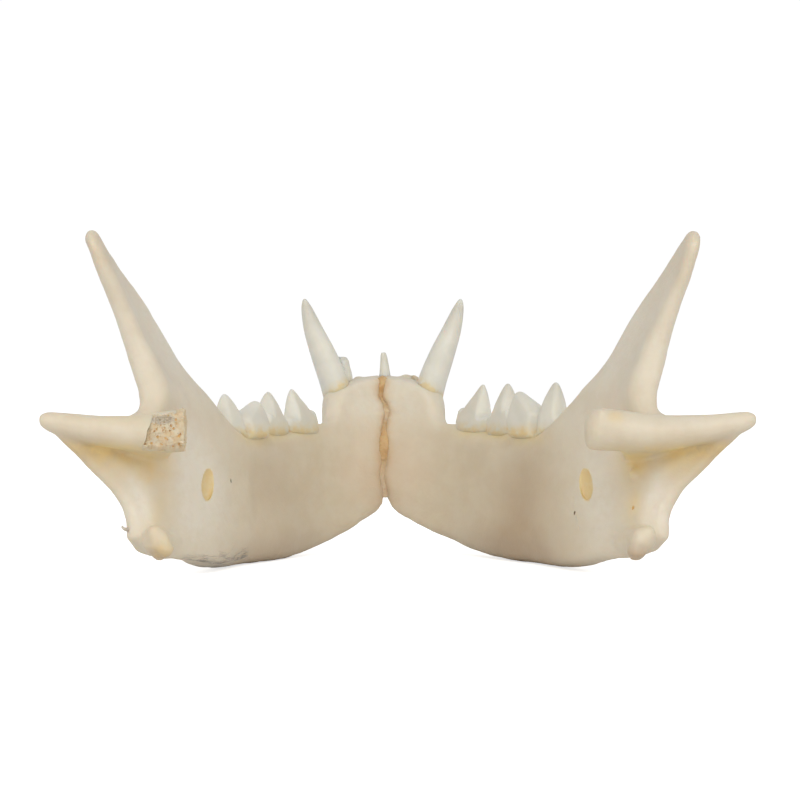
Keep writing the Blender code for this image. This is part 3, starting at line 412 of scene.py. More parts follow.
# The last tint is grey bone on the bone, and painted shadow in the dent of the spongy bone
# The second tint is painted shade on the walls of the pinholes
PIT_TINT, PINHOLE_SHADE_TINT, GREY_AND_SHADOW_TINT = (0.76, 0.50, 0.21), (0.30, 0.24, 0.16), (0.52, 0.47, 0.40)
FIBRE_LIGHT, FIBRE_DARK = (0.66, 0.60, 0.52), (0.42, 0.37, 0.31)
TIP_TINT = (0.60, 0.585, 0.52)
ENAMEL_LIGHT, ENAMEL_DARK, NECK_TINT = (0.76, 0.735, 0.65), (0.67, 0.655, 0.57), (0.75, 0.60, 0.34)
SPONGE_LIGHT, SPONGE_DARK, SPONGE_TINT = (0.71, 0.61, 0.44), (0.68, 0.48, 0.25), (0.72, 0.45, 0.17)
SEAM_LIGHT, SEAM_DARK, FAINT_TINT = (0.66, 0.44, 0.21), (0.54, 0.31, 0.12), (0.70, 0.55, 0.38)


def ramp(start, end, value):
    """0 before start and 1 after end, with a smooth rise between them."""
    share = np.clip((np.asarray(value, float) - start) / (end - start), 0, 1)
    return share * share * (3 - 2 * share)


def along(stations, places):
    """The values at places on the smooth curve through the stations."""
    knots, values = np.array(stations, float).T
    ends = len(knots) - 1
    before, after = np.maximum(np.arange(ends + 1) - 1, 0), np.minimum(np.arange(ends + 1) + 1, ends)
    slopes = (values[after] - values[before]) / (knots[after] - knots[before])
    places = np.clip(places, knots[0], knots[-1])
    i = np.clip(np.searchsorted(knots, places) - 1, 0, ends - 1)
    wide = knots[i + 1] - knots[i]
    t = (places - knots[i]) / wide
    return (values[i] * (1 + 2 * t) * (1 - t) ** 2 + slopes[i] * wide * t * (1 - t) ** 2
            + values[i + 1] * t * t * (3 - 2 * t) + slopes[i + 1] * wide * t * t * (t - 1))


def round_curve(points, steps):
    """Points on the smooth closed curve through the given ones."""
    curve = []
    count = len(points)
    for i in range(count):
        a, b, c, d = (Vector(points[(i + k) % count]) for k in (-1, 0, 1, 2))
        for k in range(steps):
            t = k / steps
            curve.append(0.5 * (2 * b + (c - a) * t + (2 * a - 5 * b + 4 * c - d) * t * t
                                + (3 * b - a - 3 * c + d) * t ** 3))
    return curve


def new_object(name, mesh):
    obj = bpy.data.objects.new(name, mesh)
    bpy.context.scene.collection.objects.link(obj)
    return obj


def points_of(mesh):
    """The mesh points as columns of out, fore and up."""
    flat = np.empty(len(mesh.vertices) * 3)
    mesh.vertices.foreach_get("co", flat)
    return flat.reshape(-1, 3)


def move_points(mesh, points):
    mesh.vertices.foreach_set("co", np.ascontiguousarray(points, float).ravel())
    mesh.update()


def apply_modifiers(obj):
    """The object with its modifiers made part of its mesh."""
    bpy.context.view_layer.update()
    graph = bpy.context.evaluated_depsgraph_get()
    mesh = bpy.data.meshes.new_from_object(obj.evaluated_get(graph))
    obj.modifiers.clear()
    obj.data = mesh
    return obj


def slab(name, outline, half, edge_steps=3):
    """A flat plate with round edges, cut to an outline in its local X and Y."""
    curve = bpy.data.curves.new(name, "CURVE")
    curve.dimensions = "2D"
    curve.fill_mode = "BOTH"
    curve.extrude = half * 0.1
    curve.bevel_depth = half * 0.9
    curve.bevel_resolution = edge_steps
    curve.offset = -half * 0.9
    spline = curve.splines.new("POLY")
    spline.points.add(len(outline) - 1)
    for point, place in zip(spline.points, outline):
        point.co = (place[0], place[1], 0, 1)
    spline.use_cyclic_u = True
    flat = new_object(name + "_flat", curve)
    bpy.context.view_layer.update()
    graph = bpy.context.evaluated_depsgraph_get()
    mesh = bpy.data.meshes.new_from_object(flat.evaluated_get(graph))
    bpy.data.objects.remove(flat)
    return new_object(name, mesh)


def even_mesh(obj, voxel, rounds):
    """Rebuilds the surface from even squares and smooths its creases."""
    remesh = obj.modifiers.new("Remesh", "REMESH")
    remesh.mode = "VOXEL"
    remesh.voxel_size = voxel
    if rounds:
        smooth = obj.modifiers.new("Smooth", "SMOOTH")
        smooth.factor = 0.5
        smooth.iterations = rounds
    return apply_modifiers(obj)


def loft(name, sections, sides):
    """A closed form through oval sections, each a middle and two half axes."""
    bm = bmesh.new()
    rings = []
    for middle, across, upwards in sections:
        turns = [2 * math.pi * k / sides for k in range(sides)]
        rings.append([bm.verts.new(middle + across * math.cos(t) + upwards * math.sin(t)) for t in turns])
    for low, high in zip(rings, rings[1:]):
        for k in range(sides):
            bm.faces.new((low[k], low[(k + 1) % sides], high[(k + 1) % sides], high[k]))
    bm.faces.new(rings[0])
    bm.faces.new(rings[-1])
    bmesh.ops.recalc_face_normals(bm, faces=bm.faces)
    mesh = bpy.data.meshes.new(name)
    bm.to_mesh(mesh)
    bm.free()
    return new_object(name, mesh)


def finer(stations, steps):
    """More stations on the smooth curve through the given ones."""
    stations = np.array(stations, float)
    knots = np.arange(len(stations))
    places = np.linspace(0, knots[-1], (len(stations) - 1) * steps + 1)
    return np.array([along(list(zip(knots, column)), places) for column in stations.T]).T


def stem(name, stations, sides):
    """A tapering form along an axis given as fore, out, up, half length and half width."""
    middles = [Vector((out, fore, up)) for fore, out, up, *_ in stations]
    sections = []
    for i, station in enumerate(stations):
        axis = (middles[min(i + 1, len(middles) - 1)] - middles[max(i - 1, 0)]).normalized()
        across = axis.cross(Vector((1, 0, 0))).normalized()
        sections.append((middles[i], across * station[3], across.cross(axis) * station[-1]))
    return loft(name, sections, sides)


def ball(name, middle, half, slope=(0.0, 0.0), detail=4):
    """An oval ball, sheared outwards along the jaw and forwards upwards. Sizes are fore, out and up."""
    bm = bmesh.new()
    bmesh.ops.create_icosphere(bm, subdivisions=detail, radius=1.0)
    fore, out, up = middle
    bmesh.ops.scale(bm, vec=Vector((half[1], half[0], half[2])), verts=bm.verts)
    for vert in bm.verts:
        ahead = vert.co.y + slope[1] * vert.co.z
        vert.co = Vector((out + vert.co.x + slope[0] * ahead, fore + ahead, up + vert.co.z))
    mesh = bpy.data.meshes.new(name)
    bm.to_mesh(mesh)
    bm.free()
    return new_object(name, mesh)


def join(name, pieces):
    """One object that holds the meshes of all the pieces."""
    bm = bmesh.new()
    for piece in pieces:
        bm.from_mesh(piece.data)
        bpy.data.objects.remove(piece)
    mesh = bpy.data.meshes.new(name)
    bm.to_mesh(mesh)
    bm.free()
    return new_object(name, mesh)


def combine(obj, pieces, operation):
    """One Boolean of the object with a collection of closed meshes, which are then removed."""
    group = bpy.data.collections.new(operation)
    bpy.context.scene.collection.children.link(group)
    for piece in pieces:
        bpy.context.scene.collection.objects.unlink(piece)
        group.objects.link(piece)
    boolean = obj.modifiers.new(operation, "BOOLEAN")
    boolean.operation = operation
    boolean.solver = "MANIFOLD"
    boolean.operand_type = "COLLECTION"
    boolean.collection = group
    apply_modifiers(obj)
    for piece in list(group.objects):
        bpy.data.objects.remove(piece)
    bpy.data.collections.remove(group)
    return obj


def inner_face(fore, up, side):
    """How far out the inner face of the bone lies."""
    ramus = 1 - ramp(RAMUS_ENDS, BODY_STARTS, fore)
    raked = np.where(fore > RAKED_AHEAD_OF, up, np.minimum(up, RAKE_TOP))
    behind = SYMPHYSIS_HIND + (raked - SYMPHYSIS_FOOT) * SYMPHYSIS_RAKE - fore
    lean = along(LEAN_LINE, up) * ramus
    front = FRONT_LEAN * (fore - LEAN_HIND) * ramp(FRONT_LEAN_FROM, FRONT_LEAN_FULL, up) * ramus
    own = along(side["lean"], up) * ramus
    reach = along(CORONOID_FRONT, up) - LEAN_HIND
    share = np.clip((fore - LEAN_HIND) / reach, 0, 1)
    own += along(side["front_lean"], up) * share * share * (3 - 2 * share) * ramus
    near_rim = np.maximum(0.0, (FLARE_FROM - fore) / (FLARE_FROM - RIM_FORE))
    flare = along(RIM_FLARE, up) * near_rim ** FLARE_CURVE
    return along(INNER_LINE, behind) + lean + front + own + flare


def slant(fore, up, side):
    """How much longer a straight cut outwards is than the bone is thick there."""
    step = 0.2
    along_fore = (inner_face(fore + step, up, side) - inner_face(fore - step, up, side)) / (2 * step)
    along_up = (inner_face(fore, up + step, side) - inner_face(fore, up - step, side)) / (2 * step)
    return np.minimum(MOST_SLANT, np.sqrt(1 + along_fore ** 2 + along_up ** 2))


def ramus_thickness(fore, up):
    """Thickness of the ramus: low down by fore, and higher up with its two crests."""
    low = along(RAMUS_THICK, fore)
    front = along(CORONOID_FRONT, up)
    hind = along(CORONOID_HIND, up)
    high = (along(CORONOID_THICK, up)
            + along(FRONT_CREST, up) * np.exp(-((front - FRONT_CREST_IN - fore) / FRONT_CREST_WIDE) ** 2)
            + along(HIND_CREST, up) * np.exp(-((fore - hind - HIND_CREST_IN) / HIND_CREST_WIDE) ** 2))
    share = ramp(CORONOID_FROM, CORONOID_FULL, up)
    return low * (1 - share) + high * share


def fossa_depth(fore, up):
    """Depth of the hollow on the outer side of the ramus."""
    away = np.hypot((fore - FOSSA_AT[0]) / FOSSA_SIZE[0], (up - FOSSA_AT[1]) / FOSSA_SIZE[1])
    return FOSSA_DEPTH * (1 - ramp(FOSSA_FLOOR, 1.0, away))


def outer_face(fore, up, inner, side):
    ramus = inner + ramus_thickness(fore, up) * slant(fore, up, side)
    body = along(OUTER_LINE, fore) + along(OUTER_LEAN, fore) * (up - BODY_MIDDLE)
    share = ramp(OUTER_RAMUS_ENDS, OUTER_BODY_STARTS, fore)
    return ramus * (1 - share) + body * share - fossa_depth(fore, up)


def bend_to_bone(mesh, side):
    """Moves the points of the flat slab onto the faces of the bone."""
    fore, up, through = points_of(mesh).T
    share = np.clip((through / SLAB_HALF + 1) / 2, 0, 1)
    inner = inner_face(fore, up, side)
    outer = outer_face(fore, up, inner, side)
    middle, half = (inner + outer) / 2, (outer - inner) / 2
    chin = ramp(CHIN_FROM, CHIN_FULL, fore)
    tuck = TUCK * (1 - ramp(0.0, TUCK_TOP, up)) * ramp(TUCK_FROM, TUCK_FULL, fore) * (1 - chin)
    half = half * (1 - tuck)
    share = share ** (1 + 2 * chin)
    move_points(mesh, np.column_stack((middle + half * (2 * share - 1), fore, up)))


def jaw_outline(side):
    """The half jaw from the side: chin, lower border, angle, condyle, coronoid, tooth margin."""
    hind = [(fore, up) for up, fore in CORONOID_HIND]
    front = [(fore, up) for up, fore in reversed(CORONOID_FRONT)]
    lower = []
    for fore, up in LOWER_BORDER:
        lift = ramp(LIFT_FROM, LIFT_MOST, fore) * (1 - ramp(LIFT_MOST, LIFT_TO, fore))
        lower.append((fore, up + side["border_lift"] * float(lift)))
    points = lower + list(HIND_BORDER) + hind + [CORONOID_TIP] + front
    return round_curve(points + list(UPPER_BORDER), 5)


def plate(side):
    """Body, ramus and coronoid process in one bent plate."""
    flat = slab("plate", jaw_outline(side), SLAB_HALF)
    flat = even_mesh(flat, VOXEL, PLATE_ROUNDS)
    bend_to_bone(flat.data, side)
    return flat


def condyle():
    sections = [(Vector((out, fore, up)), Vector((0, deep, 0)), Vector((0, 0, high)))
                for out, up, high, fore, deep in CONDYLE]
    return loft("condyle", sections, 28)


def condyle_neck():
    sections = [(Vector((out, fore, up)), Vector((wide, 0, 0)), Vector((0, 0, high)))
                for fore, out, up, wide, high in NECK]
    return loft("neck", sections, 24)


def whole_bone(side):
    """One half of the jaw without its teeth, as one even surface."""
    pieces = [plate(side), condyle(), condyle_neck()]
    pieces += [stem(*parts) for parts in (
        ("rim", RIM, 16), ("rim_flat", RIM_FLAT, 16), ("angle", ANGULAR, 18), ("nub", ANGULAR_NUB, 14),
        ("swelling", CANINE_SWELLING, 20), ("tooth_edge", ALVEOLAR_EDGE, 16))]
    pieces += [ball("knob", *lump) for lump in KNOB_LUMPS[side["name"]]]
    if not side["broken"]:
        pieces.append(ball("corner", *CONDYLE_CORNER))
    pieces += [ball("bump", place, (size,) * 3, detail=2) for *place, size in side["bumps"]]
    return even_mesh(join("bone", pieces), VOXEL, BONE_ROUNDS)


def holes(side):
    """Openings in the bone, by the mask that tints them, each as middle, half sizes and slope of a ball."""
    fore, up = JAW_FORAMEN_AT
    fore += side["foramen_shift"]
    out = float(inner_face(np.array(fore), np.array(up), side)) + FORAMEN_SINK
    sockets = [INCISOR_SOCKETS[index] for index in side["empty_sockets"]]
    hollow = [((fore, out, up), JAW_FORAMEN_SIZE, FORAMEN_SLANT)]
    hollow += [(*hole, UPRIGHT) for hole in CHIN_FORAMINA]
    socket_size = (SOCKET_RADIUS, SOCKET_RADIUS, SOCKET_DEPTH)
    return {"hollow": hollow,
            "pit": [(middle, (size,) * 3, UPRIGHT) for middle, size in side["pits"]],
            # The walls of the pinholes get painted shade
            "pinhole_shade": [(middle, (size,) * 3, UPRIGHT) for middle, size in side["pinholes"]],
            "bare": [((fore, out, SOCKET_UP), socket_size, UPRIGHT) for out, fore in sockets]}


def surface_tree(mesh):
    """A search tree of the mesh's faces."""
    return BVHTree.FromPolygons([v.co for v in mesh.vertices], [tuple(p.vertices) for p in mesh.polygons])


def polyline(name, runs):
    """Open lines of points, as one mesh of edges."""
    points = [point for run in runs for point in run]
    edges, start = [], 0
    for run in runs:
        edges += [(start + k, start + k + 1) for k in range(len(run) - 1)]
        start += len(run)
    mesh = bpy.data.meshes.new(name)
    mesh.from_pydata(points, edges, [])
    return new_object(name, mesh)


def inner_run(tree, places, side, seed):
    """A crooked line on the inner face of the bone through places given as fore and up."""
    run = []
    fine = np.array(places, float)
    knots = np.arange(len(fine))
    for t in np.linspace(0, knots[-1], 6 * knots[-1] + 1):
        fore, up = np.interp(t, knots, fine[:, 0]), np.interp(t, knots, fine[:, 1])
        spot = Vector((float(inner_face(np.array(fore), np.array(up), side)), fore, up))
        spot += SCRATCH_STRAY * noise.noise_vector(spot / SCRATCH_WAVE + Vector((seed, 0, 0)))
        run.append(tree.find_nearest(spot)[0])
    return run


def thread_tree(name):
    """Threads of uneven thickness swept along the edges of a mesh."""
    tree, given, made = new_tree(name, "GeometryNodeTree", (
        ("Lines", "NodeSocketGeometry"), ("Radius", "NodeSocketFloat", 0.05),
        ("Seed", "NodeSocketInt", 1), ("Finish", "NodeSocketMaterial")),
        (("Threads", "NodeSocketGeometry"),))
    curve = field(tree, "GeometryNodeMeshToCurve", {"Mesh": given["Lines"]})
    share = field(tree, "FunctionNodeRandomValue", {
        2: THREAD_SHARES[0], 3: THREAD_SHARES[1], "Seed": given["Seed"]}, data_type="FLOAT")
    thick = maths(tree, "MULTIPLY", share.outputs[1], given["Radius"])
    ring = field(tree, "GeometryNodeCurvePrimitiveCircle", {"Resolution": 6, "Radius": 1.0})
    sweep = field(tree, "GeometryNodeCurveToMesh", {
        "Curve": curve.outputs["Curve"], "Profile Curve": ring.outputs["Curve"], "Scale": thick,
        "Fill Caps": True})
    return dressed(tree, sweep.outputs["Mesh"], given["Finish"], made["Threads"])


def scratch(half, side, seed, finishes):
    """Cuts fine scratches into the inner face."""
    tree = surface_tree(half.data)
    runs = [inner_run(tree, places, side, seed) for places in side["scratches"]]
    lines = grown(polyline("scratches", runs), thread_tree("scratch_threads"),
                  {"Radius": SCRATCH_RADIUS, "Seed": seed, "Finish": finishes["bone"]})
    combine(half, [lines], "DIFFERENCE")


def ventral_fibres(half, finishes):
    """Thin dried threads along the lower edge of the left body."""
    tree = surface_tree(half.data)
    runs = []
    for k in range(FIBRES):
        a, b, c, d = (noise.cell(Vector((k * 3.1 + 0.5, turn, 7.5))) for turn in (1.5, 2.5, 3.5, 4.5))
        fore = FIBRES_FROM + FIBRES_OVER * (0.5 + 0.5 * a)
        up = FIBRES_FOOT + FIBRES_HIGH * (0.5 + 0.5 * b) ** FIBRES_LOW_DOWN
        long, rise = FIBRE_SHORTEST + FIBRE_LONGER * (0.5 + 0.5 * c), FIBRE_TILT * d
        run = []
        for t in np.linspace(-0.5, 0.5, 6):
            at = fore + long * t
            inner = float(inner_face(np.array(at), np.array(up), LEFT))
            spot = Vector((inner + FIBRE_INSIDE, at, max(0.0, up + rise * t)))
            place, normal, _, _ = tree.find_nearest(spot)
            run.append(place + normal * (FIBRE_LIFT + FIBRE_ARCH * (1 - abs(2 * t)) * (0.6 + 0.4 * c)))
        runs.append(run)
    return grown(polyline("dried_fibres", runs), thread_tree("fibre_threads"),
                 {"Radius": FIBRE_RADIUS, "Seed": 5, "Finish": finishes["fibre"]})


def rough_block(name, place, across, upwards, back, ahead, rough):
    """A block on a plane, from back behind it to ahead of it, with a rough front and uneven edges."""
    facing = across.cross(upwards)
    bm = bmesh.new()
    count, wide = BREAK_STEPS, BREAK_STEPS + 1
    sheets = []
    for depth, is_rough in ((-back, False), (ahead, True)):
        sheet = []
        for i in range(wide):
            for k in range(wide):
                spot = (place + across * (i / count - 0.5) * BREAK_SIZE
                        + upwards * (k / count - 0.5) * BREAK_SIZE)
                lift = depth
                if is_rough:
                    coarse, fine = (noise.noise(spot / size) for size in BREAK_GRAINS)
                    lift += rough * (coarse + FINE_SHARE * fine)
                aside, above = (noise.noise(spot / size) for size in EDGE_WAVES)
                uneven = (aside * across + above * upwards) * EDGE_ROUGH
                sheet.append(bm.verts.new(spot + facing * lift + uneven))
        sheets.append(sheet)
    low, high = sheets
    for i in range(count):
        for k in range(count):
            a, b, c, d = i * wide + k, (i + 1) * wide + k, (i + 1) * wide + k + 1, i * wide + k + 1
            bm.faces.new((high[a], high[b], high[c], high[d]))
            bm.faces.new((low[d], low[c], low[b], low[a]))
        for a, b in ((i * wide, (i + 1) * wide), ((i + 1) * wide + count, i * wide + count),
                     (count * wide + i, count * wide + i + 1), (i + 1, i)):
            bm.faces.new((low[a], low[b], high[b], high[a]))
    bmesh.ops.recalc_face_normals(bm, faces=bm.faces)
    mesh = bpy.data.meshes.new(name)
    bm.to_mesh(mesh)
    bm.free()
    return new_object(name, mesh)


def losses(grow, rough):
    """The blocks of bone that broke away, with their faces moved into the bone by grow."""
    top, foot = Vector((BREAK_TOP[0], 0, BREAK_TOP[1])), Vector((BREAK_FOOT[0], 0, BREAK_FOOT[1]))
    upwards = (top - foot).normalized()
    across = upwards.cross(Vector((0, 1, 0)))
    shell_side = (top + foot) / 2 + across * (BREAK_SIZE / 2) + Vector((0, BREAK_DEPTH, 0))
    end = Vector((END_AT, *END_MIDDLE))
    return [rough_block("shell_loss", shell_side, across, upwards, BREAK_BACK, grow, rough),
            rough_block("end_loss", end, Vector((0, 1, 0)), Vector((0, 0, 1)), BREAK_BACK, grow, rough)]


def normals_of(mesh):
    flat = np.empty(len(mesh.vertices) * 3)
    mesh.vertex_normals.foreach_get("vector", flat)
    return flat.reshape(-1, 3)


def grain(points, size, seed):
    """Soft noise from -1 to 1 at each point; size is that of one grain in mm."""
    shift = Vector((seed * 17.3, seed * 5.1, seed * 9.7))
    return np.array([noise.noise(Vector(p) / size + shift) for p in points])


def sculpt(obj, seed):
    """Gives the even surface the slow swells of real bone, and rough ends where muscles held."""
    mesh = obj.data
    points, normals = points_of(mesh), normals_of(mesh)
    relief = [high * grain(points, size, seed + k) for k, (high, size) in enumerate(RELIEF)]
    fine = relief[2] + spots(points, ROUGH_ENDS) * (relief[3] + relief[4])
    near_joint = np.exp(-(points[:, 0] / JOINT_CALM) ** 2)
    move_points(mesh, points + normals * ((relief[0] + relief[1] + fine) * (1 - near_joint))[:, None])


def tighten_joint(mesh):
    """Makes the rounded edges of the joint at the chin meet in a narrow crack."""
    points = points_of(mesh)
    off = np.clip(points[:, 0] - INNER_FACE, 0, JOINT_EDGE)
    closing = 1 - JOINT_CLOSED * (1 - off / JOINT_EDGE) ** 2
    squeezed = INNER_FACE + off * closing + np.maximum(0, points[:, 0] - INNER_FACE - JOINT_EDGE)
    at_chin = ramp(*JOINT_FROM, points[:, 1]) * ramp(*JOINT_ABOVE, points[:, 2])
    at_chin = at_chin * (points[:, 0] > INNER_FACE)
    points[:, 0] = points[:, 0] * (1 - at_chin) + squeezed * at_chin
    move_points(mesh, points)


def seam_stain(points):
    """How near each point lies to the seam of the chin, from behind."""
    middle = along(SEAM_WANDER, points[:, 2])
    reach = along(SEAM_WIDE, points[:, 2]) + SEAM_SPREAD
    away = np.abs(points[:, 0] - middle + STAIN_STRAY * grain(points, STAIN_SIZE, 31)) / reach
    return np.exp(-away ** 2) * ramp(*STAIN_FROM, points[:, 1])


def wander_seam(mesh):
    """Lets what lies at the chin follow the crooked seam. It works on world X, so it follows mirroring."""
    points = points_of(mesh)
    near = 1 - ramp(WANDER_FULL, WANDER_NEAR, np.abs(points[:, 0]))
    crook = along(SEAM_WANDER, points[:, 2])
    crook = crook + WANDER_FINE * grain(points * (0, 0.3, 1), WANDER_SIZE, 3)
    points[:, 0] += crook * near * ramp(*WANDER_FROM, points[:, 1])
    move_points(mesh, points)


def mirror(mesh, sign):
    mesh.transform(Matrix.Diagonal((sign, 1, 1, 1)))
    if sign < 0:
        mesh.flip_normals()


def crown_outline(length, height, root, cusps):
    """A cheek tooth from the side, cusps up and two roots down, as a closed outline."""
    half = length / 2
    points = [(half * NECK_SHARE, 0.0), (half * ROOT_OUTER, -root), (half * ROOT_INNER, -root),
              (0.0, -FORK_DEPTH * root), (-half * ROOT_INNER, -root), (-half * ROOT_OUTER, -root),
              (-half * NECK_SHARE, 0.0), (-half, BULGE_UP * height)]
    points += [(half - length * place, height * share) for place, share in reversed(cusps)]
    points += [(half, BULGE_UP * height)]
    return round_curve(points, 6)


def cheek_tooth(name, side, wear):
    """A blade-like cheek tooth, narrower towards its cusps and its ends."""
    middle, out, inwards, length, width, height, root, cusps, full = CHEEK_TEETH[name]
    ahead, outwards, turned, leaning = TOOTH_SHIFTS[side["name"]][name]
    middle, out, inwards = middle + ahead, out + outwards, inwards + turned
    height -= wear
    tooth = slab(name, crown_outline(length, height, root, cusps), TOOTH_HALF, 4)
    tooth = even_mesh(tooth, TOOTH_VOXEL, 3)
    heading = np.array((-inwards, 1.0, 0.0)) / math.hypot(inwards, 1)
    sideways = np.array((heading[1], -heading[0], 0.0))
    run, high, through = points_of(tooth.data).T
    share = np.maximum(0.0, high / height)
    belly = 1 - CUSP_NARROW * share ** full
    neck = 1 - NECK_NARROW * (1 - ramp(NECK_FOOT * height, NECK_TOP * height, high))
    ends = 1 - END_NARROW * np.abs(2 * run / length) ** END_CURVE
    wide = width / 2 * belly * neck * ends
    if name == "first_molar":
        notch = np.exp(-((run - length * (0.5 - NOTCH_AT)) / NOTCH_WIDE) ** 2)
        wide = wide * (1 - NOTCH_DEPTH * notch * ramp(*NOTCH_RISE, high))
    axis = np.array((out, middle, GUM_LINE)) + np.outer(run, heading) + np.outer(high, (0, 0, 1))
    inner = inner_face(axis[:, 1], axis[:, 2], side)
    within = (inner + outer_face(axis[:, 1], axis[:, 2], inner, side)) / 2
    sunk = ramp(0.0, SUNK_AT, -high)
    lean = (CROWN_LEAN + leaning) * (np.minimum(1.0, share) - 1) * (1 - sunk)
    lean = lean + (within - axis[:, 0]) / sideways[0] * sunk
    move_points(tooth.data, axis + np.outer(through / TOOTH_HALF * wide + lean, sideways))
    if name == "first_molar" and side["sign"] > 0:
        lobes = [ball("lobe", *lobe) for lobe in INNER_LOBE]
        tooth = even_mesh(join(name, [tooth] + lobes), TOOTH_VOXEL, LOBE_ROUNDS)
    return tooth


def mask(mesh, name, values):
    """Keeps a number from 0 to 1 at each point, for the materials to read."""
    attribute = mesh.attributes.new(name, "FLOAT", "POINT")
    attribute.data.foreach_set("value", np.clip(values, 0, 1).astype(np.float32))


def spots(points, places):
    """Soft spots: fore, out, up, half sizes along them, and strength."""
    total = np.zeros(len(points))
    for fore, out, up, long, wide, high, strength in places:
        away = (((points[:, 1] - fore) / long) ** 2 + ((np.abs(points[:, 0]) - out) / wide) ** 2
                + ((points[:, 2] - up) / high) ** 2)
        total += strength * np.exp(-away)
    return total


def inside(points, middle, half, slope, edge=WALL_EDGE):
    """1 on the wall of a hole cut by an oval ball, and 0 elsewhere."""
    fore, out, up = middle
    ahead, above = points[:, 1] - fore, points[:, 2] - up
    away = np.sqrt(((ahead - slope[1] * above) / half[0]) ** 2 + (above / half[2]) ** 2
                   + ((np.abs(points[:, 0]) - out - slope[0] * ahead) / half[1]) ** 2)
    return 1 - ramp(edge - WALL_SOFT, edge, away)


def lay_down(obj, material, slot, *nodes, sharp=SHARP_BONE):
    """Puts a finished piece in its place in the model."""
    mesh = obj.data
    points = points_of(mesh) + np.array(PLACED_BY)
    points[:, 2] = np.maximum(points[:, 2], 0.0)
    move_points(mesh, points * MM)
    mesh.shade_smooth()
    mesh.set_sharp_from_angle(angle=math.radians(sharp))
    mesh.materials.clear()
    mesh.materials.append(material)
    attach(obj, "root")
    if nodes:
        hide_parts(*nodes)


def paint_bone(mesh, side, cut_by):
    """Works out where the bone is stained, rosy, grey, paler or browned, and where light and shade are
    painted on: painted shade in the pinholes, along the bodies and under the condyles, painted light on the
    lit faces.
    """
    points = points_of(mesh)
    for kind in ("hollow", "pit", "pinhole_shade"):
        wall = np.zeros(len(points))
        for cutter in cut_by[kind]:
            wall = np.maximum(wall, inside(points, *cutter))
        mask(mesh, kind, wall)
    mask(mesh, "seam", seam_stain(points) * along(SEAM_STRENGTH, points[:, 2]))
    for kind, places in (("stain_and_recess_shade", STAIN_AND_RECESS_SHADE + side["stain_and_recess_shade"]), ("rose", ROSE), ("pale_and_painted_light", PALE_AND_PAINTED_LIGHT + side["pale_and_painted_light"]),
                         ("shade_and_brown", SHADE_AND_BROWN + side["shade_and_brown"]), ("grey_and_dent_shadow", side["grey_and_dent_shadow"])):
        mask(mesh, kind, spots(points, places))


def half_jaw(side, seed, finishes):
    """The bone of one side with its teeth."""
    node = "mandible_" + side["name"]
    half = whole_bone(side)
    sculpt(half, seed)
    tighten_joint(half.data)
    cut_by = holes(side)
    cutters = [ball("hole", *hole, detail=4 if min(hole[1]) > SMALL_HOLE else 2)
               for found in cut_by.values() for hole in found]
    combine(half, cutters, "DIFFERENCE")
    scratch(half, side, seed, finishes)
    if side["broken"]:
        for thin in (ventral_fibres(half, finishes), stem("splinter", finer(SPLINTER, 3), 10)):
            mirror(thin.data, side["sign"])
            lay_down(thin, finishes["fibre"], "dry_bone", node)
        sponge, skin = spongy_bone(half, finishes)
        depth = sponge_depth(points_of(sponge.data), skin)
    half.name = "bone_" + side["name"]
    mirror(half.data, side["sign"])
    wander_seam(half.data)
    paint_bone(half.data, side, cut_by)
    lay_down(half, finishes["bone"], "dry_bone", node)
    if side["broken"]:
        mirror(sponge.data, side["sign"])
        mask(sponge.data, "hollow", depth)
        # Painted shadow, grey, in the dent at the top of the break
        mask(sponge.data, "grey_and_dent_shadow", DENT_SHADOW * inside(points_of(sponge.data), *DENT, UPRIGHT, DENT_REACH))
        lay_down(sponge, finishes["sponge"], "dry_bone", node, sharp=SHARP_SPONGE)
    found = [("cheek", name, cheek_tooth(name, side, wear))
             for name, wear in zip(CHEEK_TEETH, side["wear"])]
    found.append(("canine", "canine", stem("canine", finer(CANINE, 6), 40)))
    found += [("incisor", name, stem(name, finer(axis, 5), 20)) for name, axis in side["incisors"]]
    for kind, name, tooth in found:
        tooth.name = name + "_" + side["name"]
        points = points_of(tooth.data)
        tilt = NECK_SLANT * (points[:, 0] - SLANT_FROM) if kind == "canine" else 0.0
        mask(tooth.data, "tip", ramp(*TIPS[kind], points[:, 2]))
        mask(tooth.data, "neck", 1 - ramp(*NECKS[kind], points[:, 2] + tilt))
        mirror(tooth.data, side["sign"])
        lay_down(tooth, finishes["enamel"], "dry_bone", node, sharp=SHARP_TOOTH)


def strewn(layer, facing, name, density, least, most, seed, finish):
    """Small rough balls on the part of a surface that faces one way."""
    return grown(new_object(name, layer.data.copy()), scatter_tree(name),
                 {"Facing": facing, "Density": density, "Smallest": least, "Largest": most, "Seed": seed,
                  "Finish": finish})


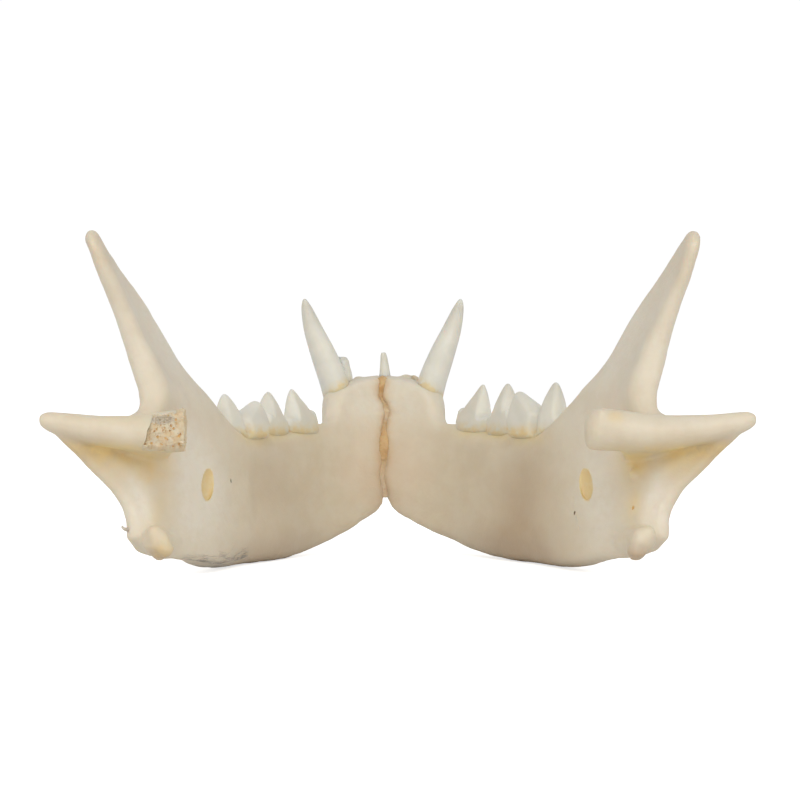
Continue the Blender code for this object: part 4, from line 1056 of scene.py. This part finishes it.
def spongy_bone(half, finishes):
    """Breaks the inner end off the condyle, and returns the spongy bone that this lays bare."""
    combine(half, losses(SPONGE_DEEP, 0.0), "DIFFERENCE")
    layer = even_mesh(join("spongy_bone", [condyle(), condyle_neck()]), SPONGE_VOXEL, SPONGE_ROUNDS)
    points = points_of(layer.data)
    fullness = SPONGE_FULL + SPONGE_UNEVEN * grain(points, SPONGE_SWELL, 21)
    move_points(layer.data, points + normals_of(layer.data) * fullness[:, None])
    bed = losses(SPONGE_DEEP + SPONGE_OVERLAP, 0.0)
    combine(bed[0], [bed[1]], "UNION")
    combine(layer, [bed[0]], "INTERSECT")
    combine(layer, losses(0.0, BREAK_ROUGH), "DIFFERENCE")
    combine(layer, [ball("dent", *DENT)], "DIFFERENCE")
    skin = surface_tree(layer.data)
    crumbs = strewn(layer, CRUMBS_FACING, *CRUMBS, finishes["sponge"])
    combine(layer, [even_mesh(crumbs, CRUMB_VOXEL, 0)], "UNION")
    for pores in PORE_SETS:
        pits = strewn(layer, SPONGE_FACING, *pores, finishes["sponge"])
        combine(layer, [even_mesh(pits, PORE_VOXEL, 0)], "DIFFERENCE")
    return layer, skin


def sponge_depth(points, skin):
    """How deep below the skin of the spongy bone each point lies, from 0 to 1."""
    deep = []
    for point in points:
        place, normal, _, away = skin.find_nearest(Vector(point))
        deep.append(away if (Vector(point) - place).dot(normal) < 0 else 0.0)
    return ramp(*SKIN_DEPTH, np.array(deep))


def fill(tree, node, values):
    """Gives a node's inputs, by name or number, plain values or what another socket puts out."""
    for name, value in dict(values).items():
        if isinstance(value, bpy.types.NodeSocket):
            tree.links.new(value, node.inputs[name])
        else:
            node.inputs[name].default_value = value
    return node


def field(tree, kind, values=(), **settings):
    """A new node of a tree with its settings and inputs."""
    node = tree.nodes.new(kind)
    for name, value in settings.items():
        setattr(node, name, value)
    return fill(tree, node, values)


def maths(tree, operation, *values, **settings):
    """A sum on sockets and plain numbers."""
    node = field(tree, "ShaderNodeMath", enumerate(values), operation=operation, **settings)
    return node.outputs[0]


def new_tree(name, kind, inputs, outputs):
    """A node group with named inputs and outputs, given as name, socket kind and value.

    Returns the group, the sockets that its inputs come from and those that its outputs go to.
    """
    tree = bpy.data.node_groups.new(name, kind)
    for label, socket, *value in inputs:
        made = tree.interface.new_socket(label, in_out="INPUT", socket_type=socket)
        if value:
            made.default_value = value[0]
    for label, socket in outputs:
        tree.interface.new_socket(label, in_out="OUTPUT", socket_type=socket)
    return tree, tree.nodes.new("NodeGroupInput").outputs, tree.nodes.new("NodeGroupOutput").inputs


def dressed(tree, shape, finish, made):
    """Ends a tree of shapes: the copies are made real and given their finish."""
    real = field(tree, "GeometryNodeRealizeInstances", {"Geometry": shape})
    dress = field(tree, "GeometryNodeSetMaterial", {
        "Geometry": real.outputs["Geometry"], "Material": finish})
    tree.links.new(dress.outputs["Geometry"], made)
    return tree


def grown(obj, tree, values):
    """The object's mesh as the tree makes it from the given input values."""
    modifier = obj.modifiers.new(tree.name, "NODES")
    modifier.node_group = tree
    for item in tree.interface.items_tree:
        if item.in_out == "INPUT" and item.name in values:
            modifier[item.identifier] = values[item.name]
    return apply_modifiers(obj)


def scatter_tree(name):
    """Small rough balls scattered over the part of a surface that faces one way."""
    tree, given, made = new_tree(name, "GeometryNodeTree", (
        ("Surface", "NodeSocketGeometry"), ("Facing", "NodeSocketVector"),
        ("Density", "NodeSocketFloat", 5.0), ("Smallest", "NodeSocketFloat", 0.1),
        ("Largest", "NodeSocketFloat", 0.2), ("Seed", "NodeSocketInt", 1),
        ("Finish", "NodeSocketMaterial")), (("Balls", "NodeSocketGeometry"),))
    normal = field(tree, "GeometryNodeInputNormal").outputs["Normal"]
    towards = field(tree, "ShaderNodeVectorMath", {0: normal, 1: given["Facing"]}, operation="DOT_PRODUCT")
    fronts = field(tree, "FunctionNodeCompare", {"A": towards.outputs["Value"], "B": FACING_LEAST},
                   operation="GREATER_THAN")
    strew = field(tree, "GeometryNodeDistributePointsOnFaces", {
        "Mesh": given["Surface"], "Selection": fronts.outputs["Result"], "Density": given["Density"],
        "Seed": given["Seed"]})
    shape = field(tree, "GeometryNodeMeshUVSphere", {"Segments": 8, "Rings": 5, "Radius": 1.0})
    size = field(tree, "FunctionNodeRandomValue", {
        "Min": given["Smallest"], "Max": given["Largest"], "Seed": given["Seed"]}, data_type="FLOAT_VECTOR")
    turn = field(tree, "FunctionNodeRandomValue", {"Max": (math.pi,) * 3, "Seed": given["Seed"]},
                 data_type="FLOAT_VECTOR")
    put = field(tree, "GeometryNodeInstanceOnPoints", {
        "Points": strew.outputs["Points"], "Instance": shape.outputs["Mesh"],
        "Rotation": turn.outputs["Value"], "Scale": size.outputs["Value"]})
    return dressed(tree, put.outputs["Instances"], given["Finish"], made["Balls"])


def chin_seam(finish):
    """The thin band of dried cartilage in the valley between the halves."""
    band = slab("dried_seam", round_curve(SEAM_OUTLINE, 4), SEAM_HALF, 2)
    band = even_mesh(band, SEAM_VOXEL, 2)
    fore, up, through = points_of(band.data).T
    hind = SYMPHYSIS_HIND + (up - SYMPHYSIS_FOOT) * SYMPHYSIS_RAKE
    at_hind = 1 - ramp(*SEAM_EDGE, fore - hind)
    widening = 1 + (SEAM_FOOT / SEAM_HALF - 1) * at_hind
    points = np.column_stack((through * widening, fore, up))
    coarse, fine = (high * grain(points, size, 11 + k) for k, (high, size) in enumerate(SEAM_RELIEF))
    level = along(SEAM_LEVEL, up) + coarse + fine
    points[:, 1] -= (level + SEAM_PROUD) * at_hind
    move_points(band.data, points)
    mask(band.data, "faint", along(SEAM_FAINT, up))
    wander_seam(band.data)
    lay_down(band, finish, "dried_cartilage", "symphysis")


def drawn_out(tree):
    """Coordinates that draw patches out along the jaw."""
    where = field(tree, "ShaderNodeTexCoord").outputs["Object"]
    return field(tree, "ShaderNodeVectorMath", {0: where, 1: (1, PATCH_STRETCH, 1)},
                 operation="MULTIPLY").outputs["Vector"]


def per_metre(tree, size):
    """How often a pattern of a size in mm fits in a metre."""
    return maths(tree, "DIVIDE", 1 / MM, size)


def cloud(tree, where, size, detail, roughness):
    """Soft noise over a piece."""
    return field(tree, "ShaderNodeTexNoise", {
        "Vector": where, "Scale": per_metre(tree, size), "Detail": detail,
        "Roughness": roughness}).outputs["Fac"]


def blend(tree, share, first, second):
    """The first colour, which gives way to the second as the share grows."""
    return field(tree, "ShaderNodeMix", {0: share, 6: first, 7: second}, data_type="RGBA").outputs[2]


def mottle_group():
    """Two colours in soft patches over the piece."""
    tree, given, made = new_tree("mottle", "ShaderNodeTree", (
        ("Light", "NodeSocketColor"), ("Dark", "NodeSocketColor"), ("Patch size", "NodeSocketFloat", 4.0),
        ("Contrast", "NodeSocketFloat", 1.0)), (("Colour", "NodeSocketColor"),))
    patches = cloud(tree, drawn_out(tree), given["Patch size"], 3.0, 0.55)
    spread = field(tree, "ShaderNodeMapRange", {
        "Value": patches, "From Min": MOTTLE_FROM, "From Max": MOTTLE_FULL},
        interpolation_type="SMOOTHSTEP").outputs["Result"]
    share = maths(tree, "MULTIPLY", spread, given["Contrast"], use_clamp=True)
    tree.links.new(blend(tree, share, given["Light"], given["Dark"]), made["Colour"])
    return tree


def tint_group():
    """A tint laid over a colour where a mask says, broken up in patches: real stains, painted shade and
    painted light alike.
    """
    tree, given, made = new_tree("tint", "ShaderNodeTree", (
        ("Colour", "NodeSocketColor"), ("Stain", "NodeSocketColor"), ("Mask", "NodeSocketFloat"),
        ("Patchiness", "NodeSocketFloat", 0.5), ("Patch size", "NodeSocketFloat", 1.0)),
        (("Colour", "NodeSocketColor"),))
    patches = cloud(tree, drawn_out(tree), given["Patch size"], 4.0, 0.6)
    around = field(tree, "ShaderNodeMapRange", {
        "Value": patches, "From Min": TINT_THIN, "From Max": TINT_THICK, "To Min": -1.0},
        clamp=False).outputs["Result"]
    uneven = maths(tree, "MULTIPLY_ADD", around, given["Patchiness"], 1.0)
    share = maths(tree, "MULTIPLY", uneven, given["Mask"], use_clamp=True)
    tree.links.new(blend(tree, share, given["Colour"], given["Stain"]), made["Colour"])
    return tree


def surface_grain_group():
    """Fine height of a surface with its roughness: soft grain and tiny pits."""
    tree, given, made = new_tree("surface_grain", "ShaderNodeTree", (
        ("Grain size", "NodeSocketFloat", 0.3), ("Pit size", "NodeSocketFloat", 0.6),
        ("Pits", "NodeSocketFloat", 0.5), ("Roughness", "NodeSocketFloat", 0.45),
        ("Spread", "NodeSocketFloat", 0.15)),
        (("Height", "NodeSocketFloat"), ("Roughness", "NodeSocketFloat")))
    where = field(tree, "ShaderNodeTexCoord").outputs["Object"]
    soft = cloud(tree, where, given["Grain size"], 5.0, 0.6)
    cells = field(tree, "ShaderNodeTexVoronoi", {
        "Vector": where, "Scale": per_metre(tree, given["Pit size"])}).outputs
    dips = field(tree, "ShaderNodeMapRange", {
        "Value": cells["Distance"], "From Max": PIT_REACH, "To Min": 1.0, "To Max": 0.0},
        interpolation_type="SMOOTHSTEP").outputs["Result"]
    drawn = field(tree, "ShaderNodeSeparateColor", {0: cells["Color"]}).outputs[0]
    few = maths(tree, "MULTIPLY", dips, maths(tree, "GREATER_THAN", drawn, PIT_FREE))
    depth = maths(tree, "MULTIPLY", few, given["Pits"])
    tree.links.new(maths(tree, "SUBTRACT", soft, depth), made["Height"])
    sheen = maths(tree, "MULTIPLY_ADD", soft, given["Spread"], given["Roughness"])
    tree.links.new(sheen, made["Roughness"])
    return tree


def finish(name, groups, base, tints, surface, scatter, radius, more=()):
    """A material: two base colours in patches, tints by their masks (stains, painted shade and painted
    light), and a fine surface.

    base     light, dark, patch size in mm, contrast
    tints    mask name, colour, patchiness, patch size in mm
    surface  grain size, pit size, pits, roughness, spread, and depth of the relief in mm
    scatter  how much light goes below the surface, and radius how far, in mm
    more     values of other sockets of the shader
    """
    material = bpy.data.materials.new(name)
    material.use_nodes = True
    tree = material.node_tree

    def placed(group, values):
        return field(tree, "ShaderNodeGroup", values, node_tree=groups[group]).outputs

    light, pinhole_shade, patch, contrast = base
    colour = placed("mottle", {"Light": (*light, 1), "Dark": (*pinhole_shade, 1), "Patch size": patch,
                               "Contrast": contrast})["Colour"]
    for mask_name, tint, patchiness, size in tints:
        amount = field(tree, "ShaderNodeAttribute", attribute_name=mask_name).outputs["Fac"]
        colour = placed("tint", {"Colour": colour, "Stain": (*tint, 1), "Mask": amount,
                                  "Patchiness": patchiness, "Patch size": size})["Colour"]
    grain_size, pit_size, pits, roughness, spread, relief = surface
    skin = placed("surface_grain", {"Grain size": grain_size, "Pit size": pit_size, "Pits": pits,
                                    "Roughness": roughness, "Spread": spread})
    bump = field(tree, "ShaderNodeBump", {"Distance": relief * MM, "Height": skin["Height"]})
    fill(tree, tree.nodes["Principled BSDF"], {
        "Base Color": colour, "Roughness": skin["Roughness"], "Normal": bump.outputs["Normal"],
        "Subsurface Weight": scatter, "Subsurface Radius": radius, "Subsurface Scale": MM,
        **dict(more)})
    return material


def all_finishes():
    """Every material of the jaw."""
    groups = {"mottle": mottle_group(), "tint": tint_group(), "surface_grain": surface_grain_group()}
    return {
        "bone": finish("dry_bone", groups, (BONE_LIGHT, BONE_DARK, 2.4, 0.85),
                       (("shade_and_brown", SHADE_AND_BROWN_TINT, 0.15, 3.5), ("stain_and_recess_shade", STAIN_AND_RECESS_SHADE_TINT, 0.5, 1.4),
                        ("rose", ROSE_TINT, 0.15, 2.5), ("pale_and_painted_light", PALE_AND_PAINTED_LIGHT_TINT, 0.3, 0.7),
                        ("seam", SEAM_TINT, 0.5, 0.5), ("grey_and_dent_shadow", GREY_AND_SHADOW_TINT, 0.4, 0.5),
                        ("hollow", HOLE_TINT, 0.3, 0.8), ("pit", PIT_TINT, 0.2, 0.5),
                        ("pinhole_shade", PINHOLE_SHADE_TINT, 0.2, 0.5)),
                       (0.35, 0.9, 0.35, 0.36, 0.16, 0.035), 0.35, (1.3, 0.75, 0.42)),
        "enamel": finish("enamel", groups, (ENAMEL_LIGHT, ENAMEL_DARK, 1.8, 0.6),
                         (("tip", TIP_TINT, 0.3, 1.5), ("neck", NECK_TINT, 0.9, 0.7)),
                         (0.8, 1.2, 0.1, 0.26, 0.12, 0.015), 0.8, (1.6, 1.3, 0.95),
                         {"Specular IOR Level": 0.4}),
        "sponge": finish("spongy_bone", groups, (SPONGE_LIGHT, SPONGE_DARK, 0.5, 0.7),
                         (("hollow", SPONGE_TINT, 0.6, 0.35), ("grey_and_dent_shadow", GREY_AND_SHADOW_TINT, 0.3, 0.5)),
                         (0.14, 0.3, 0.6, 0.6, 0.2, 0.06), 0.3, (0.8, 0.5, 0.3)),
        "fibre": finish("dried_fibre", groups, (FIBRE_LIGHT, FIBRE_DARK, 0.8, 0.8), (),
                        (0.2, 0.3, 0.2, 0.6, 0.1, 0.01), 0.2, (0.8, 0.5, 0.3)),
        "seam": finish("dried_cartilage", groups, (SEAM_LIGHT, SEAM_DARK, 0.7, 0.9),
                       (("faint", FAINT_TINT, 0.4, 0.6),),
                       (0.18, 0.35, 0.6, 0.5, 0.2, 0.06), 0.3, (0.9, 0.45, 0.2)),
    }


def area_light(name, place, size, power):
    light = bpy.data.lights.new(name, "AREA")
    light.shape = "DISK"
    light.size = size
    light.energy = power
    obj = new_object(name, light)
    obj.location = place
    obj.rotation_euler = (Vector(LIT_POINT) - Vector(place)).to_track_quat("-Z", "Y").to_euler()


def studio():
    """Pale floor, soft light and the camera behind the jaw."""
    bm = bmesh.new()
    bmesh.ops.create_circle(bm, cap_ends=True, segments=96, radius=FLOOR_RADIUS)
    mesh = bpy.data.meshes.new("floor")
    bm.to_mesh(mesh)
    bm.free()
    floor = new_object("floor", mesh)
    floor_finish = bpy.data.materials.new("floor")
    floor_finish.use_nodes = True
    tree = floor_finish.node_tree
    seen = field(tree, "ShaderNodeLightPath").outputs["Is Camera Ray"]
    fill(tree, tree.nodes["Principled BSDF"], {
        "Base Color": (0.9, 0.9, 0.9, 1), "Roughness": 0.8, "Specular IOR Level": 0.1,
        "Emission Color": (1, 1, 1, 1), "Emission Strength": maths(tree, "MULTIPLY", seen, FLOOR_GLOW)})
    mesh.materials.append(floor_finish)

    world = bpy.data.worlds.new("studio")
    bpy.context.scene.world = world
    world.use_nodes = True
    tree = world.node_tree
    seen = field(tree, "ShaderNodeLightPath").outputs["Is Camera Ray"]
    brightness = field(tree, "ShaderNodeMapRange", {
        "Value": seen, "To Min": WORLD_LIGHT, "To Max": WORLD_SEEN})
    fill(tree, tree.nodes["Background"], {"Color": (1, 1, 1, 1), "Strength": brightness.outputs["Result"]})
    for light in LIGHTS:
        area_light(*light)

    lens = bpy.data.cameras.new("camera")
    lens.sensor_width = SENSOR
    lens.lens = LENS
    lens.clip_start = NEAREST
    camera = new_object("camera", lens)
    camera.location = CAMERA_AT
    camera.rotation_euler = (math.radians(90), 0, -math.radians(CAMERA_YAW))
    bpy.context.scene.camera = camera
    bpy.context.scene.view_settings.view_transform = "Standard"


noise.seed_set(NOISE_SEED)
finishes = all_finishes()
half_jaw(RIGHT, 1, finishes)
half_jaw(LEFT, 2, finishes)
chin_seam(finishes["seam"])
studio()
